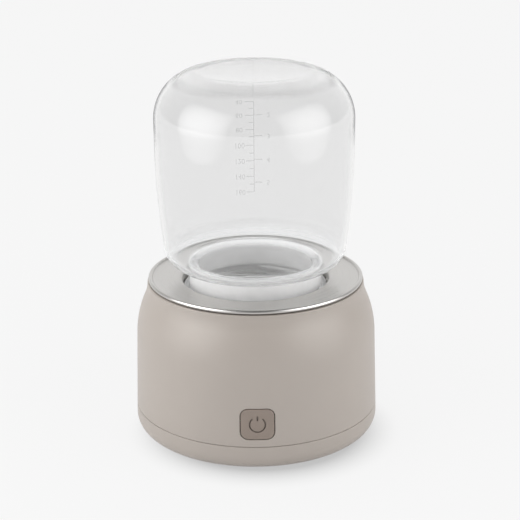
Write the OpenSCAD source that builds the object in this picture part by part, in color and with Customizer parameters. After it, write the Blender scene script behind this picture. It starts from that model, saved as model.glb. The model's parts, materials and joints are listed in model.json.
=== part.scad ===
// Portable bottle warmer: a battery heater in a round body, with a glass bottle screwed in neck down.
// Millimetres, +Z up, origin on the floor under the middle of the body, button towards -Y.

/* [Body] */
// Radius of the body under its shoulder
body_r = 43; // [42:0.5:47]
// Taper of the side, wider towards the foot, in degrees
side_draft = 1.65; // [0.5:0.05:2.5]
// Radius of the round part of the shoulder
shoulder_r = 34; // [28:1:38]
// Steepest lean of the shoulder, in degrees
shoulder_turn = 24; // [18:1:26]
// Radius of the hollow curve under the rim
hollow_r = 15; // [10:1:18]
// Thickness of the shell
shell_wall = 2.2; // [1.6:0.1:2.4]
// Thickness of the plate that carries the heating cup
top_plate = 2.4; // [1.8:0.2:3]
// Rounding of the body's top edge
top_edge_r = 0.4; // [0.2:0.1:0.8]
// Height of the seam over the floor
seam_z = 10; // [9:0.5:10.5]
// Width of the seam
seam_gap = 0.3; // [0.2:0.05:0.5]

/* [Base cover] */
// Thickness of the base cover
base_floor = 2.2; // [1.8:0.1:2.6]
// Rounding of the bottom edge
base_edge_r = 5.7; // [4.5:0.1:6.2]
// Height that the foot ring stands proud
foot_proud = 0.6; // [0.4:0.1:1.2]
// Depth of the foot ring's groove
foot_recess = 1; // [0.6:0.1:1.2]
// Distance of the foot ring's middle, where the base screws are, inside the body's radius
foot_inset = 9; // [8.6:0.1:10]
// Width of the foot ring
foot_w = 6; // [5.6:0.2:6.6]
// Height of the lip that enters the body
lip_h = 3.5; // [3:0.1:3.8]
// Thickness of that lip
lip_wall = 1.6; // [1.4:0.1:1.8]
// Gap around that lip
lip_gap = 0.15; // [0.1:0.05:0.3]
// Side of the square base seal
base_seal_t = 1.3; // [1:0.1:1.5]

/* [Power button] */
// Width of the button
button_w = 11.6; // [10:0.1:13]
// Height of the button
button_h = 11; // [8:0.1:12.4]
// Corner radius of the button
button_corner_r = 2.6; // [1.5:0.1:4]
// Height of the button's middle over the floor
button_z = 18.5; // [18:0.1:19]
// Height that the button stands proud of the body
button_proud = 0.15; // [0.05:0.05:0.4]
// Gap around the button
button_gap = 0.25; // [0.15:0.05:0.4]
// Travel of the button
button_travel = 0.8; // [0.4:0.1:1]
// Width of the rims behind the wall, left and right, that keep the button in
keeper_w = 1; // [0.8:0.1:1.2]
// Thickness of that rim
keeper_t = 1.2; // [0.8:0.1:1.6]
// Gap over and under that rim, to the inner frame and the base cover
keeper_gap = 0.65; // [0.3:0.05:1.5]
// Radius of the power symbol
icon_r = 2.7; // [2.2:0.1:3.6]
// Line width of the power symbol
icon_line = 0.5; // [0.3:0.05:0.7]
// Opening of the power symbol's ring, in degrees
icon_opening = 80; // [50:5:100]
// Depth of the power symbol below the button's face
icon_sink = 0.25; // [0.2:0.05:0.5]
// Thickness of the power symbol's insert
icon_t = 0.6; // [0.4:0.1:1]

/* [Switch] */
// Width of the switch board
switch_board_w = 18; // [17:0.5:19]
// Thickness of the switch board
switch_board_t = 1.2; // [0.8:0.1:1.6]
// Side of the square switch
switch_w = 6; // [5:0.5:7]
// Depth of the switch
switch_d = 3.4; // [3.2:0.1:4]
// Radius of the switch plunger
plunger_r = 1.7; // [1.4:0.1:2]
// Length of the plunger outside the switch
plunger_out = 1; // [1:0.1:1.4]
// Radius of the stem on the button's back
stem_r = 2; // [1.5:0.1:2.5]
// Length of that stem
stem_len = 2.3; // [2:0.1:2.8]

/* [Battery] */
// Diameter of a cell
cell_d = 18.3; // [17.5:0.1:18.6]
// Gap between a cell's corner and the base cover's lip
cell_corner_gap = 0.93; // [0.7:0.01:4]
// Gap around a cell
cell_gap = 0.3; // [0.2:0.05:0.4]
// Wall of the battery tray
tray_wall = 1.2; // [1:0.1:1.4]
// Floor of the battery tray
tray_floor = 1.2; // [1:0.1:1.6]
// Height of the battery tray
tray_h = 11; // [8:0.5:12]
// Thickness of the nickel strips
tab_t = 0.3; // [0.2:0.05:0.4]
// Thickness of the foam pad over the cells
pad_t = 1.3; // [1:0.1:2]

/* [Electronics] */
// Thickness of the inner frame
frame_t = 2; // [1.6:0.1:2.4]
// Height of the frame's stand-offs under the board
standoff_h = 2; // [1.5:0.1:3]
// Thickness of the control board
board_t = 1.6; // [1:0.1:2]
// Gap between the control board and the frame's bosses
board_gap = 1.3; // [0.8:0.1:2.1]
// Distance of the board's screws inside its edge
board_screw_inset = 4.3; // [3.7:0.1:5.3]
// Free height between the control board and the heater's stud
deck_gap = 2.6; // [1.8:0.1:4]
// Width of the charging inlet
usb_w = 8.94; // [8.6:0.02:9.2]
// Height of the charging inlet
usb_h = 3.2; // [3:0.05:3.4]
// Length of the charging inlet
usb_len = 7.4; // [6.6:0.1:9]
// Sheet thickness of the charging inlet
usb_wall = 0.3; // [0.2:0.05:0.4]
// Gap around the charging inlet in the body
usb_gap = 0.3; // [0.2:0.05:0.5]

/* [Heating cup] */
// Thickness of the steel sheet
sheet_t = 0.6; // [0.4:0.05:0.8]
// Distance of the rim inside the body's top edge
rim_inset = 0.35; // [0.2:0.05:0.8]
// Radius of the rolled rim
bead_r = 0.75; // [0.7:0.05:1]
// Outer bend radius of the sheet
bend_r = 1.4; // [1.1:0.1:1.6]
// Depth of the seat below the flange
seat_depth = 13.3; // [12.5:0.1:15]
// Inner radius of the seat's corner
seat_bend_r = 0.8; // [0.5:0.1:1]
// Step inwards from the collar's ledge to the heating chamber
chamber_step = 0.8; // [0.5:0.1:2.3]
// Depth of the heating chamber
chamber_depth = 5; // [4.2:0.1:7]
// Inner radius of the chamber's corner
chamber_bend_r = 2; // [1:0.1:2.4]
// Gap between the cup and the hole in the top plate
plate_gap = 0.8; // [0.5:0.1:2]
// Thickness of the gasket under the flange
gasket_t = 0.4; // [0.3:0.05:0.8]
// Width of that gasket
gasket_w = 4; // [3:0.1:5]
// Radius of the welded studs
stud_r = 1.25; // [1:0.05:1.5]
// Height of the nuts
nut_h = 2; // [1.6:0.1:2.4]
// Width of the nuts across flats
nut_af = 5; // [4:0.1:5.5]
// Length of a stud beyond its nut
stud_tail = 0.4; // [0.2:0.1:1]
// Radius of the beads that stop the collar from turning
key_r = 0.8; // [0.6:0.1:0.9]

/* [Heater] */
// Thickness of the heater film
heater_t = 0.6; // [0.4:0.1:1]
// Thickness of the heater's insulation
insulation_t = 2; // [1:0.1:3]
// Thickness of the clamp plate
clamp_t = 1.2; // [0.8:0.1:2]
// Radius of the temperature sensor
sensor_r = 2.2; // [1.6:0.1:2.6]
// Distance of the temperature sensor from the axis
sensor_x = 9; // [8:0.1:10]

/* [Thread collar] */
// Gap between the collar and the cup
collar_gap = 0.3; // [0.2:0.05:0.4]
// Wall of the collar behind its thread
collar_wall = 1.5; // [1.3:0.1:1.8]
// Depth of the collar's top edge below the flange
collar_drop = 3; // [2.6:0.1:3.4]
// Thickness of the ledge under the bottle's rim
ledge_t = 2; // [1.7:0.1:2.4]
// Height and groove depth of the collar's soft ring
collar_seal_t = 1; // [0.7:0.1:1.2]
// Width of the collar's soft ring
collar_seal_w = 1.2; // [1:0.1:1.3]
// Thickness of the soft ring under the bottle's rim
neck_seal_t = 1.4; // [1:0.1:2]

/* [Bottle] */
// Outer radius of the neck
neck_r = 22.4; // [22:0.1:22.6]
// Thickness of the glass
glass_t = 2.2; // [1.6:0.1:2.4]
// Length of the neck, from the rim to the shoulder
neck_len = 15; // [14:0.1:18]
// Distance from the neck to the widest part of the wall
belly_w = 12.65; // [12:0.05:15]
// Corner radius of the shoulder
bottle_shoulder_r = 7; // [5:0.1:7.4]
// Radius of the wall's lengthwise bulge
barrel_r = 300; // [250:10:600]
// Length of the bulging wall, from the shoulder to the widest part
barrel_len = 39.5; // [35:0.5:45]
// Length of the straight wall
straight_len = 7.4; // [2:0.1:12]
// Corner radius of the heel
heel_r = 17; // [14:0.1:18]
// Radius of the hollow in the bottom
punt_r = 19; // [16:0.1:19.4]
// Depth of the hollow in the bottom
punt_depth = 2.5; // [1:0.1:3]
// Thickness of the soft sleeve on the neck, under the shoulder
sleeve_t = 1.25; // [1:0.05:1.4]
// Height of the thread over the neck
thread_h = 1.4; // [1.2:0.1:1.5]
// Width of the thread at its root
thread_w = 1.9; // [1.6:0.1:2]
// Width of the thread at its crest
thread_crest_w = 1; // [0.6:0.1:1.2]
// Rise of the thread in one turn
thread_lead = 7; // [6.8:0.1:7.4]
// Gap between the crests and the facing walls
thread_gap = 0.4; // [0.3:0.05:0.5]
// Distance from the rim to the first thread
thread_start = 1.5; // [1.4:0.05:1.8]

/* [Fasteners] */
// Radius of the plastic screws
screw_r = 1.3; // [1:0.05:1.35]
// Radius of the screw heads
head_r = 2.5; // [2.2:0.1:2.6]
// Height of the screw heads
head_h = 1.6; // [1.2:0.1:1.8]
// Radial gap in a screw's clearance hole
hole_gap = 0.2; // [0.1:0.05:0.3]
// Outer radius of the screw bosses
boss_r = 3; // [2.8:0.1:3.2]

/* [Hidden] */
$fn = 96;

// Length that a cut runs past the face it opens
cut = 1;
// Length that a raised part is sunk into what it grows from
root = 1;
// Gap between pieces that are assembled tight
tight = 0.05;
// Gap between pieces that are dropped in
loose = 0.3;

// Heights, stacked from the floor to the body's top edge
floor_z = foot_proud + base_floor;
cell_z = floor_z + tray_floor + cell_gap + cell_d / 2;
pad_z = cell_z + cell_d / 2 + tight;
frame_z = pad_z + pad_t;
frame_top_z = frame_z + frame_t;
board_z = frame_top_z + standoff_h;
board_top_z = board_z + board_t;
clamp_nut_z = board_top_z + deck_gap + stud_tail;
clamp_z = clamp_nut_z + nut_h;
insulation_z = clamp_z + clamp_t;
heater_z = insulation_z + insulation_t;
cup_bottom_z = heater_z + heater_t;
chamber_z = cup_bottom_z + sheet_t;
seat_z = chamber_z + chamber_depth;
flange_top_z = seat_z + seat_depth;
flange_z = flange_top_z - sheet_t;
body_top_z = flange_z - gasket_t;

// Body outline: a tapered side, a round shoulder and a hollow curve up to the top edge
shoulder_z = body_top_z - shoulder_r * (sin(shoulder_turn) - sin(side_draft)) - hollow_r * sin(shoulder_turn);
shoulder_c = [body_r - shoulder_r * cos(side_draft), shoulder_z - shoulder_r * sin(side_draft)];
hollow_c = shoulder_c + (shoulder_r + hollow_r) * [cos(shoulder_turn), sin(shoulder_turn)];
body_top_r = hollow_c[0] - hollow_r;
shell_in_r = body_r - shell_wall;
shell_low_z = seam_z + seam_gap / 2;
cover_top_z = seam_z - seam_gap / 2;
function side_r(z) = body_r + (shoulder_z - z) * tan(side_draft);

// Base cover
edge_c = [side_r(foot_proud + base_edge_r) - base_edge_r / cos(side_draft), foot_proud + base_edge_r];
lip_out_r = shell_in_r - lip_gap;
lip_in_r = lip_out_r - lip_wall;
lip_top_z = cover_top_z + lip_h;
lip_root = 1.6;
foot_mid_r = body_r - foot_inset;
foot_in_r = foot_mid_r - foot_w / 2;
foot_out_r = foot_mid_r + foot_w / 2;
foot_top_z = foot_proud + foot_recess;
base_seal_z = cover_top_z + lip_h / 2 - base_seal_t / 2;
base_seal_in_r = shell_in_r - base_seal_t;

// Screw posts: the base cover's posts meet the shell's bosses
base_angles = [60, 120, 240, 300];
frame_angles = [30, 150, 210, 330];
screw_tip_gap = 1;
slot_edge = 1;
slot_t = 0.6;
post_wall = 0.7;
post_r = head_r + hole_gap + post_wall;
post_seat_t = 3.4;
head_seat_z = foot_top_z + head_h + loose;
post_top_z = head_seat_z + post_seat_t;
base_boss_drop = 2;
base_boss_top_z = frame_z - base_boss_drop;
base_screw_len = 11.4;
base_hole_depth = base_screw_len - post_seat_t + screw_tip_gap;
boss_web_t = 2.4;
boss_web_gap = 0.7;
boss_web_z = lip_top_z + boss_web_gap;
frame_boss_gap = 1.2;
frame_boss_circle = shell_in_r - boss_r - frame_boss_gap;
frame_boss_h = 8;
frame_screw_len = 8;
frame_hole_depth = frame_screw_len - frame_t + screw_tip_gap;
board_screw_len = 4.6;

// Button and switch, stacked from the face inwards along Y
button_face_y = -(side_r(button_z) + button_proud);
keeper_edge_x = button_w / 2 + keeper_w;
keeper_y = -sqrt(pow(shell_in_r, 2) - pow(keeper_edge_x, 2)) + loose;
keeper_low_z = lip_top_z + keeper_gap;
keeper_h = frame_z - keeper_gap - keeper_low_z;
keeper_z = keeper_low_z + keeper_h / 2;
button_back_y = keeper_y + keeper_t;
button_plate_y = -(lip_out_r + button_travel + loose);
plunger_y = button_back_y + stem_len;
switch_y = plunger_y + plunger_out;
switch_board_y = switch_y + switch_d;
switch_back_y = switch_board_y + switch_board_t;
plunger_hole = 2;
plunger_in = plunger_hole - button_travel - hole_gap;
switch_board_z = boss_web_z;
switch_board_h = frame_z - loose - switch_board_z;
rail_w = 3;
rail_cover = 1;
rail_x = switch_board_w / 2 - rail_cover;
stop_w = 6;
stop_edge = 0.5;
rail_back = 1;
led_w = 2;
led_d = 0.8;
led_h = 1.2;
icon_bar_in = 1.3;
icon_bar_out = 0.4;

// Battery: the cells are as long as the base cover's lip lets them be
cell_y = cell_d / 2 + cell_gap;
bay_y = cell_d + 2 * cell_gap;
bay_x = sqrt(pow(lip_in_r - cell_corner_gap, 2) - pow(bay_y, 2));
cell_len = 2 * (bay_x - tab_t - cell_gap);
tray_r = min(lip_in_r, edge_c[0]) - loose;
cell_tip_r = 3;
cell_tip_h = 1;
tab_w = 8;
tab_rise = 5;
tab_x = cell_len / 2 + tab_t;
tab_top_z = floor_z + tray_h + tab_rise;
pad_x = 50;
pad_edge = 5;
pad_y = 2 * (bay_y - pad_edge);
fence_w = 1.2;
fence_y = 16;
fence_h = 3;

// Control board and its parts
standoff_wall = 1.3;
standoff_r = screw_r + standoff_wall;
board_r = frame_boss_circle - boss_r - board_gap;
board_screw_circle = board_r - board_screw_inset;
board_angles = [45, 135, 225, 315];
chip_w = 9;
chip_h = 1.2;
chip_y = -9;
inductor_r = 5;
inductor_h = 5;
inductor_edge = 1.8;
inductor_x = -(board_r - inductor_r - inductor_edge);
transistor_len = 6;
transistor_w = 5;
transistor_h = 2;
transistor_edge = 6.9;
transistor_angle = 32;
transistor_at = (board_r - transistor_edge) * [cos(transistor_angle), sin(transistor_angle)];
capacitor_r = 3;
capacitor_h = 8;
capacitor_edge = 5.8;
capacitor_angle = 112;
capacitor_at = (board_r - capacitor_edge) * [cos(capacitor_angle), sin(capacitor_angle)];
plug_len = 6;
plug_w = 15;
plug_h = 5.5;
socket_w = 6;
socket_len = 4;
socket_h = 4;
usb_inset = 0.7;
usb_z = board_top_z + usb_h / 2;
usb_mouth_y = side_r(usb_z) - usb_inset;
usb_flat = 0.2;
usb_corner_r = usb_h / 2 - usb_flat;
usb_back = 0.6;
board_tab_gap = 1.8;
board_tab_y = shell_in_r - board_tab_gap;
board_tab_side = 4;
board_tab_w = usb_w + 2 * board_tab_side;
tongue_w = 6.7;
tongue_t = 0.7;
tongue_set = 1.8;
tongue_len = usb_len - tongue_set;

// Thread collar and seals
well_r = neck_r + thread_h + thread_gap + collar_wall + collar_gap;
collar_r = well_r - collar_gap;
collar_root_r = collar_r - collar_wall;
collar_crest_r = neck_r + thread_gap;
collar_top_z = flange_top_z - collar_drop;
ledge_z = seat_z + ledge_t;
rim_z = ledge_z + neck_seal_t;
ledge_edge = 0.1;
ledge_r = neck_r - glass_t + ledge_edge;
collar_chamfer = 1.2;
collar_lead_in = 0.9;
collar_seal_shift = 0.8;
collar_seal_mid_r = (ledge_r + collar_r - collar_chamfer) / 2 + collar_seal_shift;

// Heating cup
chamber_r = ledge_r - chamber_step;
plate_hole_r = well_r + sheet_t + plate_gap;
rim_r = body_top_r - rim_inset;
bead_c = [rim_r - bead_r, flange_top_z];
stud_circle = (plate_hole_r + body_top_r - shell_wall) / 2;
stud_angles = [30, 150, 270];
stud_hole_r = stud_r + hole_gap;
cup_nut_z = body_top_z - top_plate - nut_h;
key_angles = [0, 120, 240];
key_low_gap = 0.6;
key_top_gap = 1;
key_low_z = seat_z + seat_bend_r + key_low_gap;
key_top_z = flange_top_z - bend_r - key_top_gap;

// Heater pile
heater_r = chamber_r - chamber_bend_r - hole_gap;
clamp_edge = 0.5;
clamp_r = heater_r + clamp_edge;
pile_gap = 0.5;
pile_hole_r = stud_r + pile_gap;
sensor_flange_w = 0.8;
sensor_flange_r = sensor_r + sensor_flange_w;
sensor_flange_t = 1;
fuse_w = 5;
fuse_len = 12;
fuse_h = 2;
fuse_x = -9;

// Leads: hand-set routes, each from the face that the lead leaves
lead_r = 0.6;
battery_lead_y = 6;
battery_steps = [[0.8, -7], [2, -6], [3.2, -4], [3.4, 0], [3.4, 4], [2.4, 7], [0.2, 8.2], [-3.2, 8.4]];
battery_route = [for (p = battery_steps) [tab_x + p[0], frame_z + p[1]]];
battery_slot_x = 1.7;
battery_slot_len = 3.5;
battery_slot_side = 2;
plug_x = battery_route[len(battery_route) - 1][0] - 2 * tight - plug_len / 2;
heater_lead_x = 2.5;
heater_lead_out = 3.5;
heater_steps = [[0.3, 0.25], [1.5, 0.35], [2.8, 1.35], [heater_lead_out, 3.35], [heater_lead_out, 5.75]];
heater_route = concat(
  [for (p = heater_steps) [heater_r + p[0], heater_z - p[1]]],
  [[heater_r + heater_lead_out, board_top_z + tight]]
);
button_lead_x = 5;
button_lead_r = 0.9;
button_lead_out = 3.8;
button_steps = [
  [0.1, -7], [1, -7], [2.6, -6], [3.7, -4], [button_lead_out, -1], [button_lead_out, 3],
  [4, 5.6], [4.8, 7.2], [6.8, 7.2]
];
button_route = [for (p = button_steps) [switch_back_y + p[0], frame_z + p[1]]];
button_slot_r = 2.2;
socket_y = button_route[len(button_route) - 1][0] + socket_len / 2;

// Bottle outline, from the rim upwards
neck_in_r = neck_r - glass_t;
bottle_r = neck_r + belly_w;
barrel_turn = asin(barrel_len / barrel_r);
belly_z = rim_z + neck_len + bottle_shoulder_r + (barrel_r - bottle_shoulder_r) * sin(barrel_turn);
barrel_c = [bottle_r - barrel_r, belly_z];
bottle_shoulder_c = barrel_c + (barrel_r - bottle_shoulder_r) * [cos(barrel_turn), -sin(barrel_turn)];
shoulder_low_z = bottle_shoulder_c[1] - bottle_shoulder_r;
heel_c = [bottle_r - heel_r, belly_z + straight_len];
heel_in_turn = 75;
bottle_top_z = heel_c[1] + heel_r;
punt_turn = acos((punt_r - heel_c[0]) / heel_r);
punt_z = bottle_top_z - punt_depth;
punt_rise = heel_c[1] + heel_r * sin(punt_turn) - punt_z;
dish_r = (pow(punt_r, 2) + pow(punt_rise, 2)) / (2 * punt_rise);
dish_c = [0, punt_z + dish_r];
dish_turn = asin(punt_r / dish_r);
neck_fillet_r = 1.5;
rim_edge_r = 0.5;
inner_throat_r = 2.5;
thread_z = rim_z + thread_start;
thread_sweep = 180;
thread_steps = 18;
thread_sink = 0.3;
thread_top_z = thread_z + thread_lead * thread_sweep / 360 + thread_w / 2;
neck_fillet_c = [neck_r + neck_fillet_r, shoulder_low_z - neck_fillet_r];

// Soft sleeve that fills the corner between the neck and the shoulder
sleeve_in_r = neck_r + tight;
sleeve_r = sleeve_in_r + sleeve_t;
sleeve_low_z = max(collar_top_z, thread_top_z) + loose;
sleeve_top_r = neck_fillet_r - tight;
sleeve_turn = acos((sleeve_r - neck_fillet_c[0]) / sleeve_top_r);

// Points of an arc around c from angle a to angle b
function arc(c, r, a, b, n = 8) = [
  for (i = [0:n]) let (turn = a + (b - a) * i / n) c + r * [cos(turn), sin(turn)]
];

// The same points moved sideways
function shifted(points, dx) = [for (p = points) p + [dx, 0]];

function unit(v) = v / norm(v);

// Outline of a rectangle with round corners
function rounded(w, h, r) = [
  for (q = [[1, 1, 0], [-1, 1, 90], [-1, -1, 180], [1, -1, 270]])
    each arc([q[0] * (w / 2 - r), q[1] * (h / 2 - r)], r, q[2], q[2] + 90, 6)
];

// Prism along +Y with an outline in X and Z, from y0 to y1 and centred at height z
module prism_y(outline, y0, y1, z) {
  translate([0, y1, z]) rotate([90, 0, 0]) linear_extrude(y1 - y0) polygon(outline);
}

// Upright tube
module ring(r_out, r_in, h) {
  difference() {
    cylinder(r = r_out, h = h);
    translate([0, 0, -cut]) cylinder(r = r_in, h = h + 2 * cut);
  }
}

// Copies at angles on a circle
module around(angles, r) {
  for (a = angles) rotate([0, 0, a]) translate([r, 0, 0]) children();
}

// Block centred in X and Y
module block(size, at) {
  translate([at[0] - size[0] / 2, at[1] - size[1] / 2, at[2]]) cube(size);
}

// Screw that points up, its head under z = 0
module screw(len) {
  slot = 2 * (head_r - slot_edge);
  difference() {
    union() {
      translate([0, 0, -head_h]) cylinder(r = head_r, h = head_h);
      cylinder(r = screw_r, h = len);
    }
    block([slot, slot_t, head_h / 2 + cut], [0, 0, -head_h - cut]);
    block([slot_t, slot, head_h / 2 + cut], [0, 0, -head_h - cut]);
  }
}

// Six-sided nut with its hole
module nut() {
  difference() {
    rotate([0, 0, 30]) cylinder(r = nut_af / sqrt(3), h = nut_h, $fn = 6);
    translate([0, 0, -cut]) cylinder(r = stud_r + tight, h = nut_h + 2 * cut);
  }
}

// Closed solid through a row of rings that have the same number of points
module loft(rings) {
  n = len(rings[0]);
  m = len(rings);
  points = [for (one = rings) each one];
  walls = [
    for (i = [0:m - 2]) for (k = [0:n - 1])
      let (a = i * n + k, b = i * n + (k + 1) % n) each [[a, b, b + n], [a, b + n, a + n]]
  ];
  first = [for (k = [n - 1:-1:0]) k];
  last = [for (k = [0:n - 1]) (m - 1) * n + k];
  polyhedron(points, concat([first], walls, [last]));
}

// Round wire along a route that lies in a plane square to ref
module wire(route, r, ref) {
  sides = 8;
  end = len(route) - 1;
  loft([
    for (i = [0:end])
      let (
        d = unit(route[min(i + 1, end)] - route[max(i - 1, 0)]),
        u = unit(cross(d, ref)),
        v = cross(u, d)
      )
      [for (k = [0:sides - 1]) route[i] + r * (cos(360 * k / sides) * u + sin(360 * k / sides) * v)]
  ]);
}

// Thread ridges of two starts: half widths in_w at radius in_r and out_w at radius out_r
module thread(in_r, in_w, out_r, out_w, start_angle) {
  for (s = [0, 180]) loft([
    for (i = [0:thread_steps])
      let (
        turned = thread_sweep * i / thread_steps,
        a = start_angle + s + turned,
        z = thread_z + thread_lead * turned / 360
      )
      [
        for (p = [[in_r, -in_w], [out_r, -out_w], [out_r, out_w], [in_r, in_w]])
          [p[0] * cos(a), p[0] * sin(a), z + p[1]]
      ]
  ]);
}

// Half width of a thread ridge that is extended past its root by extra
function sunk_w(extra) = thread_w / 2 + (thread_w - thread_crest_w) / 2 * extra / thread_h;

// Solid of revolution that follows the side of the body, grown by extra
module side_solid(extra, z0, z1) {
  rotate_extrude() polygon([[0, z0], [side_r(z0) + extra, z0], [side_r(z1) + extra, z1], [0, z1]]);
}

module body_shell() {
  edge_turn = asin(top_edge_r / hollow_r);
  plate_turn = asin(top_plate / hollow_r);
  edge_x = hollow_c[0] - hollow_r * cos(edge_turn);
  round_part = arc(shoulder_c, shoulder_r, side_draft, shoulder_turn);
  hollow_part = arc(hollow_c, hollow_r, 180 + shoulder_turn, 180 + edge_turn);
  inner_hollow = arc(hollow_c, hollow_r, 180 + plate_turn, 180 + shoulder_turn);
  inner_round = arc(shoulder_c, shoulder_r, shoulder_turn, side_draft);
  color("#a59c94") difference() {
    union() {
      rotate_extrude() polygon(concat(
        [[side_r(shell_low_z), shell_low_z]],
        round_part,
        [for (i = [1:len(hollow_part) - 1]) hollow_part[i]],
        [
          [edge_x - top_edge_r, body_top_z],
          [plate_hole_r, body_top_z],
          [plate_hole_r, body_top_z - top_plate]
        ],
        shifted(inner_hollow, -shell_wall),
        [for (i = [1:len(inner_round) - 1]) inner_round[i] - [shell_wall, 0]],
        [[shell_in_r, shell_low_z]]
      ));
      around(base_angles, foot_mid_r) {
        translate([0, 0, post_top_z]) cylinder(r = boss_r, h = base_boss_top_z - post_top_z);
        translate([0, -boss_web_t / 2, boss_web_z])
          cube([shell_in_r + root - foot_mid_r, boss_web_t, base_boss_top_z - boss_web_z]);
      }
      around(frame_angles, frame_boss_circle) translate([0, 0, frame_top_z]) {
        cylinder(r = boss_r, h = frame_boss_h);
        translate([0, -boss_web_t / 2, 0])
          cube([shell_in_r + root - frame_boss_circle, boss_web_t, frame_boss_h]);
      }
      for (side = [-1, 1]) switch_rail(side);
    }
    around(base_angles, foot_mid_r) translate([0, 0, post_top_z - cut])
      cylinder(r = screw_r + tight, h = base_hole_depth + cut);
    around(frame_angles, frame_boss_circle) translate([0, 0, frame_top_z - cut])
      cylinder(r = screw_r + tight, h = frame_hole_depth + cut);
    around(stud_angles, stud_circle) translate([0, 0, body_top_z - top_plate - cut])
      cylinder(r = stud_hole_r, h = top_plate + 2 * cut);
    prism_y(
      rounded(button_w + 2 * button_gap, button_h + 2 * button_gap, button_corner_r + button_gap),
      button_face_y - cut, keeper_y, button_z
    );
    prism_y(
      rounded(usb_w + 2 * usb_gap, usb_h + 2 * usb_gap, usb_corner_r + usb_gap),
      board_tab_y, usb_mouth_y + usb_inset + cut, usb_z
    );
  }
}

// Rail behind the button with a groove for the switch board
module switch_rail(side) {
  back_y = switch_back_y + rail_back;
  front_y = -shell_in_r - shell_wall / 2;
  mid_x = side * (rail_x + rail_w / 2);
  edge_x = side * (switch_board_w / 2 + hole_gap - rail_w / 2);
  difference() {
    intersection() {
      translate([mid_x - rail_w / 2, front_y, switch_board_z])
        cube([rail_w, back_y - front_y, switch_board_h]);
      cylinder(r = shell_in_r + shell_wall / 2, h = frame_z);
    }
    translate([edge_x - rail_w / 2, switch_board_y - tight, switch_board_z - cut])
      cube([rail_w, switch_board_t + 2 * tight, switch_board_h + 2 * cut]);
  }
}

module base_cover() {
  inner_edge_r = base_edge_r - base_floor;
  color("#a59c94") difference() {
    union() {
      rotate_extrude() polygon(concat(
        [[0, foot_proud]],
        arc(edge_c, base_edge_r, -90, side_draft),
        [
          [side_r(cover_top_z), cover_top_z],
          [lip_out_r, cover_top_z],
          [lip_out_r, base_seal_z - tight],
          [base_seal_in_r - tight, base_seal_z - tight],
          [base_seal_in_r - tight, base_seal_z + base_seal_t + tight],
          [lip_out_r, base_seal_z + base_seal_t + tight],
          [lip_out_r, lip_top_z],
          [lip_in_r, lip_top_z],
          [lip_in_r, cover_top_z - lip_root]
        ],
        arc(edge_c, inner_edge_r, 0, -90, 6),
        [[0, floor_z]]
      ));
      around(base_angles, foot_mid_r) translate([0, 0, floor_z - root])
        cylinder(r = post_r, h = post_top_z - floor_z + root);
      block(
        [stop_w, switch_board_t + 2 * stop_edge, switch_board_z - tight - floor_z + root],
        [0, switch_board_y + switch_board_t / 2, floor_z - root]
      );
      for (side = [-1, 1]) block(
        [fence_w, fence_y, fence_h + root],
        [side * (bay_x + tray_wall + hole_gap + fence_w / 2), 0, floor_z - root]
      );
    }
    translate([0, 0, foot_proud - cut]) ring(foot_out_r + tight, foot_in_r - tight, foot_recess + cut);
    around(base_angles, foot_mid_r) {
      translate([0, 0, foot_proud]) cylinder(r = head_r + hole_gap, h = head_seat_z - foot_proud);
      translate([0, 0, foot_proud]) cylinder(r = screw_r + hole_gap, h = post_top_z);
    }
  }
}

module base_seal() {
  color("#55504c") translate([0, 0, base_seal_z]) ring(shell_in_r - tight, base_seal_in_r, base_seal_t);
}

module base_screws() {
  color("#9a9a9c") around(base_angles, foot_mid_r) translate([0, 0, head_seat_z]) screw(base_screw_len);
}

module foot_ring() {
  color("#55504c") ring(foot_out_r, foot_in_r, foot_top_z);
}

module heating_cup() {
  outer_bend_c = [well_r + bend_r, flange_top_z - bend_r];
  seat_c = [well_r - seat_bend_r, seat_z + seat_bend_r];
  inner_bend_c = [chamber_r + bend_r, seat_z - bend_r];
  floor_c = [chamber_r - chamber_bend_r, chamber_z + chamber_bend_r];
  sheet = concat(
    [[bead_c[0], flange_top_z]],
    arc(outer_bend_c, bend_r, 90, 180),
    arc(seat_c, seat_bend_r, 0, -90, 5),
    arc(inner_bend_c, bend_r, 90, 180),
    arc(floor_c, chamber_bend_r, 0, -90),
    [[0, chamber_z], [0, cup_bottom_z]],
    arc(floor_c, chamber_bend_r + sheet_t, -90, 0),
    arc(inner_bend_c, bend_r - sheet_t, 180, 90),
    arc(seat_c, seat_bend_r + sheet_t, -90, 0, 5),
    arc(outer_bend_c, bend_r - sheet_t, 180, 90),
    [[bead_c[0], flange_z]]
  );
  color("#c6c7c8") union() {
    rotate_extrude() polygon(sheet);
    rotate_extrude() translate(bead_c) circle(r = bead_r);
    around(stud_angles, stud_circle) translate([0, 0, cup_nut_z - stud_tail])
      cylinder(r = stud_r, h = flange_z + sheet_t / 2 - cup_nut_z + stud_tail);
    translate([0, 0, clamp_nut_z - stud_tail])
      cylinder(r = stud_r, h = cup_bottom_z + sheet_t / 2 - clamp_nut_z + stud_tail);
    around(key_angles, well_r) translate([0, 0, key_low_z]) cylinder(r = key_r, h = key_top_z - key_low_z);
  }
}

module cup_gasket() {
  color("#4a4643") difference() {
    translate([0, 0, body_top_z]) ring(stud_circle + gasket_w / 2, stud_circle - gasket_w / 2, gasket_t);
    around(stud_angles, stud_circle) translate([0, 0, body_top_z - cut])
      cylinder(r = stud_hole_r, h = gasket_t + 2 * cut);
  }
}

module cup_nuts() {
  color("#9a9a9c") around(stud_angles, stud_circle) translate([0, 0, cup_nut_z]) nut();
}

// Disc of the heater pile with its holes for the stud and the sensor
module pile_disc(r, z, t) {
  difference() {
    translate([0, 0, z]) cylinder(r = r, h = t);
    translate([0, 0, z - cut]) cylinder(r = pile_hole_r, h = t + 2 * cut);
    translate([sensor_x, 0, z - cut]) cylinder(r = sensor_r + hole_gap, h = t + 2 * cut);
  }
}

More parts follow.
